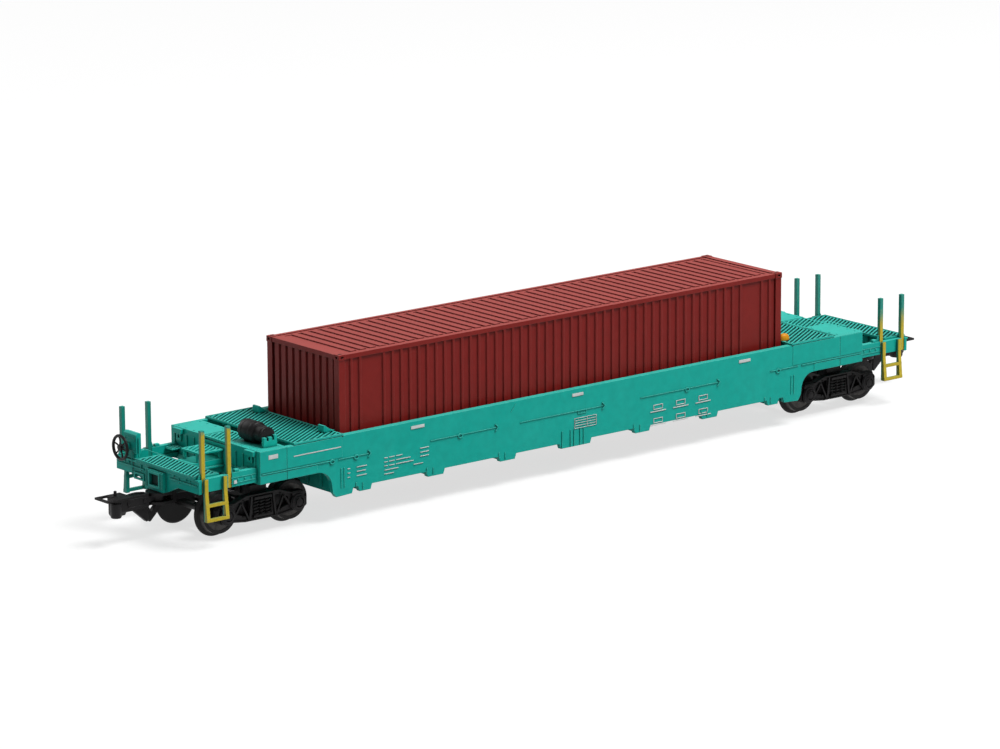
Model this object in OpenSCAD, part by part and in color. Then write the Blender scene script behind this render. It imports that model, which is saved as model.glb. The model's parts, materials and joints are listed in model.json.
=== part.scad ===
// Scale model of a well-type container wagon carrying one 40 ft container.
// X runs along the wagon, Y across it and Z up. Z = 0 is the plane under the wheel flanges.
// "left" is the end with the hand brake (-X), "front" is the -Y side.

/* [Container] */
// Length over the corner castings
container_l = 140.14; // [110:0.01:170]
// Width over the corner castings
container_w = 28.02; // [24:0.01:34]
// Height over the corner castings
container_h = 29.8; // [24:0.1:36]
// Thickness of the sheet walls
container_wall = 0.9; // [0.7:0.05:1.2]
// Depth of the wall corrugations
corrugation_depth = 0.35; // [0.2:0.05:0.5]
// Distance from one wall ridge to the next
corrugation_pitch = 2.625; // [2.2:0.005:4]
// Width of a corner post, seen from the side
post_w = 2; // [1.4:0.1:2.4]
// Height of a top or bottom rail
rail_h = 1.1; // [0.9:0.1:2]
// From the two ridges beside a corner post to the middle ridges
plain_panel_l = 7.05; // [5:0.05:9]
// How far the container sits from the middle of the well
container_shift = 0.5; // [0:0.1:0.6]

/* [Well and sills] */
// Gap between the container's end and the end of the well
well_end_gap = 1.3; // [1:0.1:3]
// Gap between the container's side and a side sill
well_side_gap = 2.1; // [1:0.1:3]
// Thickness of a side sill
sill_t = 1.2; // [0.8:0.1:2]
// Height of the sill tops
sill_top = 20.8; // [19:0.1:25]
// Height of the sill's underside beside the bogies
arch_z = 13.0; // [12.6:0.1:14]
// Height of the sill's underside between the feet
sill_bottom = 7.9; // [7:0.1:9]
// Radius of the round corner where the sill steps down beside the bogie
arch_r = 4; // [2:0.1:5]
// Height of the underside of the crossmembers
foot_z = 6.6; // [6:0.1:7.5]
// Height on which the container rests
seat_z = 9.25; // [9:0.05:10]
// Thickness of the well's end wall
well_wall_t = 1.2; // [0.8:0.1:1.6]

/* [Bogies] */
// Distance between the two axles of a bogie
axle_spacing = 20.4; // [18:0.1:26]
// Diameter of a wheel on its tread
wheel_d = 9.65; // [8:0.05:10.5]
// Height of a wheel flange
flange_h = 0.9; // [0.6:0.1:1.1]
// Width of a wheel over its flange
wheel_w = 2.8; // [2.2:0.1:3.2]
// Distance between the backs of the two wheels
back_to_back = 14.5; // [13:0.1:16]
// Diameter of an axle between the wheels
axle_d = 2; // [1.5:0.1:2.5]
// Diameter of an axle's journals
journal_d = 1.4; // [1:0.1:1.8]
// Radial clearance of a journal in its bearing
journal_gap = 0.08; // [0.04:0.01:0.1]
// Thickness of a bogie side frame
frame_t = 1.6; // [1.2:0.1:2]
// Gap between the end of the well and the nearest wheel flange
bogie_gap = 2.9; // [2.8:0.1:6]
// Diameter of the pivot screw
pivot_d = 2.4; // [1.8:0.1:3]
// Radial clearance of the pivot screw in the bogie
pivot_gap = 0.08; // [0.04:0.01:0.1]

/* [Ends] */
// Length of the bolster box over a bogie
bolster_l = 8; // [6:0.1:12]
// Length of the end platform beyond the bolster box
platform_l = 16.55; // [14:0.05:22]
// Height of the end platform's grating
platform_z = 17.1; // [16:0.1:18]
// Height of the corner posts
post_top = 28; // [24:0.1:32]
// Side of a square corner post
post_side = 1; // [0.8:0.1:1.4]
// Height of the lowest ladder step
step_z = 6.7; // [5:0.1:8]
// Diameter of the hand brake wheel
brake_wheel_d = 6.3; // [5:0.1:7]
// Thickness of the walkway gratings
grating_t = 0.4; // [0.3:0.05:0.6]
// Distance from one grating slat to the next, across the slats
slat_pitch = 1.05; // [0.8:0.05:1.5]
// Width of a grating slat
slat_w = 0.44; // [0.3:0.02:0.6]
// Angle between the slats and the wagon's length
slat_angle = 32; // [0:1:60]

/* [Hidden] */
$fn = 48;
seat_gap = 0.05;        // clearance between pieces that rest on or butt against each other
post_gap = 0.05;        // clearance round the corner posts
lift_gap = 0.4;         // clearance of the well's furniture from the container's lift path

// Container
container_z = seat_z + seat_gap;
container_top = container_z + container_h;
casting_l = post_w + 0.05;      // corner casting, along the container
casting_w = 1.86;       // corner casting, across the container
casting_h = 1.36;       // corner casting, upright
casting_proud = 0.12;   // castings stand this far outside the rails and posts
post_ridge = 1.82;      // from a side wall's end to its last ridge
side_ridge_w = 0.6;     // flat top of a side ridge
ridge_slope = 0.2;      // a ridge's slope, along the wall
roof_t = 0.6;
roof_rib_h = 0.25;
roof_pitch = 2.9;
floor_t = 0.9;
door_rod_r = 0.28;

// Well
well_half = container_l / 2 + well_end_gap;
well_out = well_half + well_wall_t;
sill_in = container_w / 2 + well_side_gap;
sill_out = sill_in + sill_t;
sill_lip = 0.5;         // inward lip along the sill's top edge

// Bogies
tread_r = wheel_d / 2;
flange_r = tread_r + flange_h;
axle_z = flange_r;
bogie_x = well_out + bogie_gap + flange_r + axle_spacing / 2;
wheel_out = back_to_back / 2 + wheel_w;
frame_in = wheel_out + 0.9;
frame_out = frame_in + frame_t;
journal_end = frame_out - 0.3;
plate_z = arch_z - 0.45;        // underside of the wagon's centre plate
bogie_top = plate_z - seat_gap;
bogie_bolster_z = 8.9;
chord_z = 3.4;                  // underside of a bogie's side frame
chord_top = 9.6;                // top of a bogie's side frame

// Ends
sill_half = bogie_x + bolster_l / 2;
bolster_in = bogie_x - bolster_l / 2;
head_x = sill_half + platform_l;        // outer face of the headstock
head_t = 0.8;
post_x_in = sill_half + 7.8;            // middle of the inner corner posts
post_x_out = head_x - head_t - post_gap - post_side / 2;
post_y = sill_out - 1.7;
beam_z = arch_z + 0.55;
ladder_y = sill_out - 0.95;             // inner face of the ladders
ladder_half = 2.7;                      // half the distance between a ladder's stiles
ladder_shift = 0.8;                     // front ladders stand this far to the left, back ones to the right
walkway_in = well_half - 0.3;
walkway_l = 14.35;
walkway_w = 2 * sill_out + 0.2;
walkway_z = sill_top + seat_gap;
steps_y = 4.6;                          // half width of the middle steps

// Furniture
guide_y = container_w / 2 - 0.2;        // outer face of the container guides
guide_w = 2.2;
guide_rise = 1.6;
brake_y = 11.2;                         // shaft of the hand brake wheel
brake_z = 19.6;
reservoir_x = bogie_x - 0.9;
reservoir_r = 2.5;
bracket_y = sill_in - 1.9;              // inner face of the bracket beside the reservoir

// Couplers
tongue_x = 20.6;        // from the bogie's pivot to the coupler's pin
coupler_pin_r = 0.8;
pocket_z = 8.3;
pocket_h = 2.8;
pocket_r = 2.9;
pocket_t = 0.7;         // thickness of the pocket's plates
web_z = 4.3;            // underside of the gussets below the coupler
coupler_l = 15.95;      // from the coupler's pin to the tip of its loop
coupler_head = [10.1, 12.9];            // inner and outer face of the coupler's head
coupler_arm_z = [7.8, 11.2];

// Crossmembers of the well: distance from the middle, width, width of the foot on the sill
CROSS_AT = 0;
CROSS_W = 1;
FOOT_W = 2;
crossmembers = [
    [0, 5.6, 9.2],
    [0.3, 3.2, 4.5],
    [0.61, 3.2, 4.7],
    [0.907, 2.4, 3.2],
];

GREEN = [0.12, 0.62, 0.54];
RED = [0.47, 0.17, 0.15];
BLACK = [0.10, 0.10, 0.10];
YELLOW = [0.85, 0.72, 0.18];
ORANGE = [0.92, 0.55, 0.10];
STEEL = [0.55, 0.55, 0.56];

// ---- helpers ----

// A piece drawn for the +X end, put at either end
module at_end(end) {
    if (end < 0) mirror([1, 0, 0]) children();
    else children();
}

// A piece drawn for the +Y side, put on either side
module at_side(side) {
    if (side < 0) mirror([0, 1, 0]) children();
    else children();
}

// A block from its lowest to its highest corner
module block(low, high) {
    translate(low) cube(high - low);
}

// An outline in X and Z, made solid from y = low to y = high
module across_y(low, high) {
    translate([0, high, 0]) rotate([90, 0, 0]) linear_extrude(high - low) children();
}

// An outline in Y and Z, made solid from x = low to x = high
module across_x(low, high) {
    translate([low, 0, 0]) rotate([90, 0, 90]) linear_extrude(high - low) children();
}

// A round bar along Y
module bar_y(x, z, r, low, high) {
    translate([x, high, z]) rotate([90, 0, 0]) cylinder(r = r, h = high - low);
}

// A round bar along X
module bar_x(y, z, r, low, high) {
    translate([low, y, z]) rotate([0, 90, 0]) cylinder(r = r, h = high - low);
}

// ---- container ----

// Outline of a wall of the given length about 0, with a ridge standing out at each place.
// Points run along the outer face and come back along the inner one.
function wall_outline(length, places, ridge, depth, t) = concat(
    [[-length / 2, -depth]],
    [for (at = places)
        for (p = [[-ridge / 2 - ridge_slope, -depth], [-ridge / 2, 0],
                  [ridge / 2, 0], [ridge / 2 + ridge_slope, -depth]])
            [at + p[0], p[1]]],
    [[length / 2, -depth], [length / 2, -t], [-length / 2, -t]]
);

// Places of the side ridges: a run in the middle and two beside each post.
function side_ridges(length) =
    let (last = length / 2 - post_ridge, run = last - corrugation_pitch - plain_panel_l)
    let (count = floor(run / corrugation_pitch + 0.5))
    concat(
        [-last, corrugation_pitch - last],
        [for (i = [-count:count - 1]) (i + 0.5) * corrugation_pitch],
        [last - corrugation_pitch, last]
    );

module container_side(side) {
    inner_l = container_l - 2 * (casting_l + seat_gap);
    y = container_w / 2 - casting_proud;
    color(RED) at_side(side) {
        // corrugated sheet
        translate([container_shift, y - 0.05, container_z + rail_h])
            linear_extrude(container_h - 2 * rail_h)
                polygon(wall_outline(inner_l, side_ridges(inner_l), side_ridge_w,
                                     corrugation_depth, container_wall));
        // bottom and top rails
        for (z = [container_z + 0.12, container_top - rail_h - 0.12])
            translate([container_shift - inner_l / 2, y - container_wall - 0.15, z])
                cube([inner_l, container_wall + 0.15, rail_h]);
    }
}

// Frame of one end: two posts with their castings, a bottom sill and a header
module end_frame() {
    x = container_l / 2;
    y = container_w / 2;
    for (side = [-1, 1]) at_side(side) {
        block([x - post_w, y - post_w, container_z + casting_h - 0.1],
              [x - casting_proud, y - casting_proud, container_top - casting_h + 0.1]);
        for (z = [container_z, container_top - casting_h])
            difference() {
                block([x - casting_l, y - casting_w, z], [x, y, z + casting_h]);
                // blind openings in the side face and the end face
                translate([x - casting_l / 2, y, z + casting_h / 2]) scale([0.5, 1, 0.3])
                    rotate([90, 0, 0]) cylinder(r = 1, h = 0.8, center = true, $fn = 24);
                translate([x, y - casting_w / 2, z + casting_h / 2]) scale([1, 0.4, 0.3])
                    rotate([0, 90, 0]) cylinder(r = 1, h = 0.8, center = true, $fn = 24);
            }
    }
    for (z = [container_z + 0.12, container_top - rail_h - 0.12])
        block([x - post_w, -y + post_w - 0.1, z],
              [x - casting_proud, y - post_w + 0.1, z + rail_h]);
}

module container_closed_end() {
    width = container_w - 2 * post_w + 0.2;
    end_pitch = 2.61;
    reach = floor((width / 2 - 1) / end_pitch);
    end_ridges = [for (i = [-reach:reach]) i * end_pitch];
    color(RED) translate([container_shift, 0, 0]) at_end(-1) {
        end_frame();
        translate([container_l / 2 - 0.35, 0, container_z + rail_h])
            rotate([0, 0, 90])
                linear_extrude(container_h - 2 * rail_h) mirror([0, 1, 0])
                    polygon(wall_outline(width, end_ridges, 1.5, 0.5, 1.1));
    }
}

module container_door_end() {
    color(RED) translate([container_shift, 0, 0]) end_frame();
}

module container_doors() {
    x = container_l / 2 - 0.55;
    half = container_w / 2 - post_w - seat_gap;
    low = container_z + rail_h + 0.17;
    high = container_top - rail_h - 0.17;
    color(RED) translate([container_shift, 0, 0]) for (side = [-1, 1]) at_side(side) {
        block([x - 0.8, 0.06, low], [x, half, high]);
        // lock rods
        for (y = [half * 0.30, half * 0.66])
            translate([x + 0.1, y, low]) cylinder(r = door_rod_r, h = high - low, $fn = 24);
        // horizontal pressings
        for (k = [1:4])
            block([x - 0.1, 0.6, low + (high - low) * k / 5 - 0.5],
                  [x + 0.12, half - 0.6, low + (high - low) * k / 5 + 0.5]);
        // hinges
        for (k = [0:3])
            block([x - 0.1, half - 1.3, low + (high - low) * (0.12 + 0.25 * k) - 0.3],
                  [x + 0.2, half, low + (high - low) * (0.12 + 0.25 * k) + 0.3]);
    }
}

module container_roof() {
    inner_l = container_l - 2 * (casting_l + seat_gap);
    half = container_w / 2 - container_wall - casting_proud - 0.2;
    top = container_top - 0.15;
    rib_half = half - 1.1;
    count = floor((inner_l - 8) / roof_pitch);
    color(RED) translate([container_shift, 0, 0]) {
        block([-inner_l / 2, -half, top - roof_rib_h - roof_t], [inner_l / 2, half, top - roof_rib_h]);
        for (i = [0:count])
            across_y(-rib_half, rib_half)
                translate([(i - count / 2) * roof_pitch, top - roof_rib_h - 0.05])
                    polygon([[-0.95, 0], [0.95, 0], [0.65, roof_rib_h + 0.05], [-0.65, roof_rib_h + 0.05]]);
    }
}

module container_floor() {
    inner_l = container_l - 2 * (casting_l + seat_gap);
    half = container_w / 2 - container_wall - casting_proud - 0.2;
    count = 28;
    color(RED) translate([container_shift, 0, 0]) {
        block([-inner_l / 2, -half, container_z + 0.9], [inner_l / 2, half, container_z + 0.9 + floor_t]);
        // cross bearers under the floor
        for (i = [0:count])
            translate([(i / count - 0.5) * (inner_l - 6), 0, container_z + 0.5])
                cube([1.2, 2 * half - 0.6, 1], center = true);
    }
}

// ---- wagon frame ----

module sill_outline_half() {
    cheek = well_out + 1.9;     // where the deep part of the sill ends
    // upper web
    translate([-0.05, arch_z]) square([sill_half + 0.05, sill_top - arch_z]);
    // deep web between the bogies
    translate([-0.05, sill_bottom]) square([cheek - 0.35, arch_z - sill_bottom + 0.05]);
    polygon([[cheek - 1, arch_z + 0.1], [cheek, arch_z + 0.1], [cheek, arch_z - arch_r],
             [cheek - 0.3, foot_z + 0.9], [cheek - 1.2, foot_z - 0.3], [cheek - 5.8, foot_z - 0.1],
             [cheek - 6.3, sill_bottom], [cheek - 1, sill_bottom + 0.2]]);
    // round corner of the step down
    difference() {
        translate([cheek - 0.05, arch_z - arch_r]) square([arch_r + 0.05, arch_r + 0.05]);
        translate([cheek + arch_r, arch_z - arch_r]) circle(r = arch_r);
    }
    // feet over the crossmembers
    for (c = crossmembers)
        translate([c[CROSS_AT] * well_half, 0])
            polygon([[-c[FOOT_W] / 2 - 0.5, sill_bottom + 0.1], [-c[FOOT_W] / 2, foot_z],
                     [c[FOOT_W] / 2, foot_z], [c[FOOT_W] / 2 + 0.5, sill_bottom + 0.1]]);
}

module side_sill(side) {
    color(GREEN) at_side(side) {
        across_y(sill_in, sill_out) {
            sill_outline_half();
            mirror([1, 0]) sill_outline_half();
        }
        // inward lip along the top edge, between the ends of the well
        block([-well_half, sill_in - sill_lip, sill_top - 0.6], [well_half, sill_in + 0.1, sill_top]);
    }
}

// A channel across the well, open below
module crossmember(x, width) {
    half = sill_in - seat_gap;
    difference() {
        block([x - width / 2, -half, foot_z + 0.1], [x + width / 2, half, seat_z]);
        block([x - width / 2 + 0.7, -half + 0.8, foot_z], [x + width / 2 - 0.7, half - 0.8, seat_z - 0.8]);
    }
}

module well_crossmembers() {
    color(GREEN) for (c = crossmembers) {
        crossmember(c[CROSS_AT] * well_half, c[CROSS_W]);
        if (c[CROSS_AT] > 0) crossmember(-c[CROSS_AT] * well_half, c[CROSS_W]);
    }
}

module well_end(end) {
    half = sill_in - seat_gap;
    color(GREEN) at_end(end) {
        block([well_half, -half, foot_z + 0.1], [well_out, half, sill_top - seat_gap]);
        // seat under the container's end
        block([well_half - 3.2, -half, foot_z + 0.1], [well_half + 0.1, half, seat_z]);
        // stiffeners on the bogie side
        for (y = [-10.8, -5.4, 5.4, 10.8])
            block([well_out - 0.1, y - 0.35, foot_z + 1], [well_out + 0.5, y + 0.35, sill_top - 1]);
    }
}

module bolster(end) {
    half = sill_in - seat_gap;
    wall = 0.9;
    color(GREEN) at_end(end) difference() {
        union() {
            block([bolster_in, -half, arch_z], [sill_half, half, sill_top]);
            translate([bogie_x, 0, plate_z]) cylinder(r = 3.6, h = 0.5);
        }
        // hollow between the webs, open at the sides of the middle web
        for (side = [-1, 1]) at_side(side)
            block([bolster_in + wall, 4.2, arch_z + 0.9], [sill_half - wall, half - 0.9, sill_top - 0.8]);
        // recess of the middle steps
        block([bolster_in - 1, -steps_y, sill_top - 0.9], [sill_half + 1, steps_y, sill_top + 1]);
        // thread of the pivot screw
        translate([bogie_x, 0, plate_z - 1]) cylinder(r = pivot_d / 2 + 0.02, h = 4);
    }
}

module centre_sill(end) {
    half = 3;
    color(GREEN) at_end(end) {
        // between the end of the well and the bolster box
        difference() {
            block([well_out + seat_gap, -half, arch_z + 0.1], [bolster_in - seat_gap, half, sill_top - 1.6]);
            block([well_out - 1, -half + 0.8, arch_z - 1], [bolster_in + 1, half - 0.8, sill_top - 2.4]);
        }
        // between the bolster box and the headstock
        difference() {
            block([sill_half + seat_gap, -half, arch_z + 0.4], [head_x - head_t - seat_gap, half, platform_z - 0.45]);
            block([sill_half - 1, -half + 0.8, arch_z - 1], [head_x + 1, half - 0.8, platform_z - 1.3]);
        }
        // flanges at mid height
        for (side = [-1, 1]) at_side(side)
            block([sill_half + seat_gap, half - 0.1, arch_z + 1.9],
                  [head_x - head_t - seat_gap, half + 0.6, arch_z + 2.3]);
    }
}

module headstock(end) {
    half = sill_out - 1;
    drop = 3.4;         // half width of the coupler striker
    striker_x = head_x + 1;
    color(GREEN) at_end(end) {
        across_x(head_x - head_t, head_x)
            polygon([[-half, platform_z - 0.5], [-half, beam_z - 0.3], [-drop - 4.4, beam_z - 0.3],
                     [-drop, arch_z - 1.7], [drop, arch_z - 1.7], [drop + 4.4, beam_z - 0.3],
                     [half, beam_z - 0.3], [half, platform_z - 0.5]]);
        // striker with its pocket
        difference() {
            block([head_x - 0.1, -drop, arch_z - 1.7], [striker_x, drop, platform_z - 1.1]);
            block([head_x + 0.3, -1.8, arch_z - 0.6], [striker_x + 1, 1.8, platform_z - 1.9]);
        }
        // angle along the top edge
        block([head_x - 0.1, -half, platform_z - 0.9], [head_x + 0.35, half, platform_z - 0.5]);
    }
}

module side_beams(end) {
    y_in = post_y - post_side / 2 - 0.1;
    y_out = ladder_y - seat_gap;
    post = post_side / 2 + post_gap;
    color(GREEN) at_end(end) for (side = [-1, 1]) at_side(side) {
        block([sill_half + seat_gap, y_in, beam_z], [post_x_in - post, y_out, platform_z - 0.2]);
        block([post_x_in + post, y_in, beam_z], [post_x_out - post, y_out, platform_z - 0.4]);
        // inner rib that ties both beams together behind the post
        block([sill_half + seat_gap, y_in - 0.5, beam_z + 0.4], [post_x_out - post, y_in - seat_gap, beam_z + 1.2]);
    }
}

// ---- gratings ----

// A frame with slanting slats, from corner low to corner high
module grating(low, high, z) {
    size = high - low;
    reach = norm(size);
    count = ceil(reach / slat_pitch);
    edge = 0.55;
    translate([0, 0, z]) linear_extrude(grating_t) union() {
        difference() {
            translate(low) square(size);
            translate(low + [edge, edge]) square(size - [2 * edge, 2 * edge]);
        }
        intersection() {
            translate(low) square(size);
            translate((low + high) / 2) rotate(slat_angle)
                for (i = [-count:count])
                    translate([-reach, i * slat_pitch - slat_w / 2]) square([2 * reach, slat_w]);
        }
    }
}

module upper_walkway(end) {
    x = [walkway_in, walkway_in + walkway_l];
    y = walkway_w / 2;
    color(GREEN) grating([end > 0 ? x[0] : -x[1], -y], [end > 0 ? x[1] : -x[0], y], walkway_z);
}

module end_grating(end) {
    x = [post_x_in + post_side / 2 + 1.7, head_x + 0.5];
    y = post_y - post_side / 2 - post_gap;
    z = platform_z - grating_t;
    // the hand brake takes the far corner of the left platform
    color(GREEN) grating([end > 0 ? x[0] : -x[1], -y],
                         [end > 0 ? x[1] : -x[0], end > 0 ? y : brake_y - 3.2], z);
}

module middle_steps(end) {
    upper = [bolster_in + 0.1, sill_half - 0.1];
    lower = [sill_half + 0.25, post_x_in - 0.6];
    upper_y = steps_y - seat_gap;
    lower_y = 3.6;
    upper_z = sill_top - grating_t - 0.1;
    lower_z = platform_z + 1.5;
    color(GREEN) {
        grating([end > 0 ? upper[0] : -upper[1], -upper_y],
                [end > 0 ? upper[1] : -upper[0], upper_y], upper_z);
        grating([end > 0 ? lower[0] : -lower[1], -lower_y],
                [end > 0 ? lower[1] : -lower[0], lower_y], lower_z);
        at_end(end) {
            // bearers under the upper step
            for (y = [-upper_y, upper_y - 0.6])
                block([upper[0], y, sill_top - 0.85], [upper[1], y + 0.6, upper_z + 0.05]);
            // legs of the lower step
            for (x = [lower[0], lower[1] - 0.6], y = [-2.9, 2.3])
                block([x, y, platform_z - 0.4], [x + 0.6, y + 0.6, lower_z + 0.05]);
        }
    }
}

// ---- posts and ladders ----

module corner_posts(end) {
    color(GREEN) at_end(end) for (side = [-1, 1]) at_side(side)
        for (x = [post_x_in, post_x_out])
            block([x - post_side / 2, post_y - post_side / 2, beam_z - 0.05],
                  [x + post_side / 2, post_y + post_side / 2, post_top]);
}

module corner_ladders(end) {
    stile_w = 0.95;
    flare = 1;          // how far the foot of the ladder stands out
    y = ladder_y;
    t = 0.7;
    foot_t = 1.3;       // the stiles are deeper at the foot
    foot_y = y + flare + t - 0.35;
    middle = (post_x_in + post_x_out) / 2;
    color(YELLOW) at_end(end) for (side = [-1, 1]) at_side(side) {
        low = middle + end * side * ladder_shift - ladder_half - stile_w / 2;
        for (x = [low, low + 2 * ladder_half])
            across_x(x, x + stile_w)
                polygon([[y, platform_z - 0.4], [y, arch_z], [foot_y - foot_t, step_z],
                         [foot_y, step_z], [y + t, arch_z], [y + t, platform_z - 0.4]]);
        for (z = [step_z, step_z + 3.4]) {
            out = y + (foot_y - t - y) * (1 - (z - step_z) / (arch_z - step_z));
            block([low, out, z], [low + 2 * ladder_half + stile_w, out + t, z + 0.75]);
        }
    }
}

// ---- furniture ----

// A wedge that steers the container's end into the well
module guide(end, side) {
    foot = container_l / 2 + container_shift + lift_gap;
    run = 2.6;
    steps = 8;
    at_end(end) at_side(side) across_y(guide_y - guide_w, guide_y)
        translate([foot, walkway_z + grating_t + seat_gap])
            polygon(concat(
                [for (i = [0:steps]) [run * i / steps, 0.15 + (guide_rise - 0.15) * pow(i / steps, 1.6)]],
                [[run + 0.5, guide_rise], [run + 0.5, 0], [0, 0]]));
}

module container_guides() {
    color(GREEN) for (place = [[-1, -1], [-1, 1], [1, 1]]) guide(place[0], place[1]);
}

// The painted guide is a rounded block
module marked_guide() {
    foot = container_l / 2 + container_shift + lift_gap;
    half = 1.6;
    steps = 16;
    color(ORANGE) at_side(-1) across_y(guide_y - guide_w, guide_y)
        translate([foot + half, walkway_z + grating_t + seat_gap])
            polygon([for (i = [0:steps]) [half * cos(180 * i / steps), guide_rise * sin(180 * i / steps)]]);
}

module brake_stand() {
    x = head_x + seat_gap;
    color(GREEN) at_end(-1) {
        // bracket up from the headstock
        block([x - 1.3, brake_y - 1.5, platform_z - 0.35], [x - 0.2, brake_y + 1.3, brake_z]);
        // gear box with a sloping top
        across_y(brake_y - 3, brake_y + 1.9)
            polygon([[x - 1.4, brake_z - 1.4], [x, brake_z - 1.4], [x, brake_z + 3],
                     [x - 0.5, brake_z + 3.5], [x - 1.4, brake_z + 3.3]]);
        // boss of the wheel's shaft
        bar_x(brake_y, brake_z, 0.9, x - 0.2, x + 1.1);
    }
}

module brake_wheel() {
    x = head_x + 1.9;
    rim_r = 0.42;
    rim_at = brake_wheel_d / 2 - rim_r;
    color(BLACK) at_end(-1) translate([x, brake_y, brake_z]) rotate([0, 90, 0]) {
        rotate_extrude() translate([rim_at, 0.5]) circle(r = rim_r, $fn = 16);
        cylinder(r = 0.95, h = 1.1);
        for (i = [0:4])
            rotate([0, 0, 72 * i]) translate([0.4, -0.24, 0.2]) cube([rim_at - 0.4, 0.48, 0.55]);
    }
}

module air_reservoir() {
    z = sill_top + seat_gap + reservoir_r + 0.05;
    y = steps_y + 0.4;
    color(BLACK) mirror([1, 0, 0]) mirror([0, 1, 0]) {
        bar_y(reservoir_x, z, reservoir_r, y, y + 6);
        bar_y(reservoir_x, z, 1.6, y + 5.9, bracket_y - seat_gap);
        bar_y(reservoir_x, z, 0.8, y - 0.6, y + 0.1);
        // feet
        for (at = [y + 1.4, y + 4.6])
            block([reservoir_x - 1.2, at - 0.3, sill_top + seat_gap], [reservoir_x + 1.2, at + 0.3, z - 1.6]);
    }
}

module reservoir_bracket() {
    w = 3.8;
    color(GREEN) mirror([1, 0, 0]) mirror([0, 1, 0]) across_y(bracket_y, bracket_y + 0.8)
        translate([reservoir_x, sill_top + seat_gap])
            polygon([[-w / 2, 0], [w / 2, 0], [w / 2, 2.3], [w / 2 - 0.8, 2.3], [w / 2 - 0.8, 1.5],
                     [0.5, 1.5], [0.5, 2.3], [-0.5, 2.3], [-0.5, 1.5], [-w / 2 + 0.8, 1.5],
                     [-w / 2 + 0.8, 2.6], [-w / 2, 2.6]]);
}

module pivot_screws() {
    color(STEEL) for (end = [-1, 1]) translate([end * bogie_x, 0, 0]) {
        translate([0, 0, bogie_bolster_z - 1]) cylinder(r = 2.1, h = 0.8);
        translate([0, 0, bogie_bolster_z - 0.5]) cylinder(r = pivot_d / 2, h = plate_z + 2.4 - bogie_bolster_z);
    }
}

// ---- bogies ----

// Half of a side frame's outline, from its middle outwards
module side_frame_half() {
    a = axle_spacing / 2;
    difference() {
        polygon([[-0.05, chord_top], [a * 0.46, chord_top], [a * 0.8, axle_z + 2.7], [a + 1.5, axle_z + 2.7],
                 [a + 2.7, axle_z + 1.5], [a + 2.7, axle_z - 1.2], [a + 1.6, axle_z - 1.9],
                 [a - 1.7, axle_z - 1.9], [a * 0.5, chord_z], [-0.05, chord_z]]);
        // spring window
        translate([-1, chord_z + 1.1]) square([3.7, chord_top - chord_z - 2.3]);
        // window between the column and the journal
        polygon([[a * 0.37, chord_top - 1.1], [a * 0.5, chord_top - 1.2], [a * 0.74, axle_z + 1.7],
                 [a * 0.74, axle_z - 0.2], [a * 0.46, chord_z + 1.3], [a * 0.37, chord_z + 1.3]]);
    }
}

module side_frame() {
    a = axle_spacing / 2;
    across_y(frame_in, frame_out) {
        side_frame_half();
        mirror([1, 0]) side_frame_half();
    }
    // spring nest
    for (x = [-1.75, 0, 1.75])
        translate([x, (frame_in + frame_out) / 2, chord_z + 0.9])
            cylinder(r = 0.72, h = chord_top - chord_z - 1.9, $fn = 24);
    // journal boxes with their caps
    for (x = [-a, a]) {
        bar_y(x, axle_z, 1.95, frame_out - 0.1, frame_out + 0.8);
        bar_y(x, axle_z, 1.2, frame_out + 0.7, frame_out + 1.1);
    }
}

module bogie_frame(end) {
    a = axle_spacing / 2;
    color(BLACK) at_end(end) translate([bogie_x, 0, 0]) difference() {
        union() {
            for (side = [-1, 1]) at_side(side) side_frame();
            // bolster and centre plate
            block([-2.4, -frame_in - 0.1, bogie_bolster_z], [2.4, frame_in + 0.1, bogie_bolster_z + 2.4]);
            translate([0, 0, bogie_bolster_z]) cylinder(r = 3.6, h = bogie_top - bogie_bolster_z);
            // tongue that carries the coupler, with its pocket
            block([0, -2.6, bogie_bolster_z], [tongue_x - 2, 2.6, bogie_bolster_z + 1.5]);
            block([tongue_x - 3.2, -pocket_r, pocket_z], [tongue_x - 2.3, pocket_r, pocket_z + pocket_h]);
            for (z = [pocket_z, pocket_z + pocket_h - pocket_t]) {
                block([tongue_x - 3.2, -pocket_r, z], [tongue_x, pocket_r, z + pocket_t]);
                translate([tongue_x, 0, z]) cylinder(r = pocket_r, h = pocket_t);
            }
            translate([tongue_x, 0, pocket_z]) cylinder(r = coupler_pin_r, h = pocket_h);
            // gusset below the pocket, with a slanting window
            across_y(-0.6, 0.6) translate([tongue_x, 0]) difference() {
                polygon([[-1.6, pocket_z + 0.1], [2.6, web_z], [pocket_r, web_z], [pocket_r, pocket_z + 0.1]]);
                polygon([[0.7, pocket_z - 0.15], [3.2, pocket_z - 0.15], [2.3, pocket_z - 1.75]]);
            }
        }
        // bore of the pivot screw
        translate([0, 0, bogie_bolster_z - 1]) cylinder(r = pivot_d / 2 + pivot_gap, h = 6);
        // bearings, blind from the inside
        for (x = [-a, a])
            bar_y(x, axle_z, journal_d / 2 + journal_gap, -journal_end - 0.1, journal_end + 0.1);
    }
}

// Half of a wheel's section: radius against distance outwards from its back
module wheel_section() {
    hub = axle_d / 2 + 0.7;
    polygon([[0, 0], [flange_r - 0.35, 0], [flange_r, 0.3], [flange_r - 0.15, 0.65], [tread_r + 0.12, 0.85],
             [tread_r, 1.1], [tread_r - 0.1, wheel_w], [tread_r - 0.9, wheel_w], [tread_r - 1, wheel_w - 0.5],
             [hub + 0.4, wheel_w - 0.9], [hub, wheel_w - 0.1], [0, wheel_w - 0.1]]);
}

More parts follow.
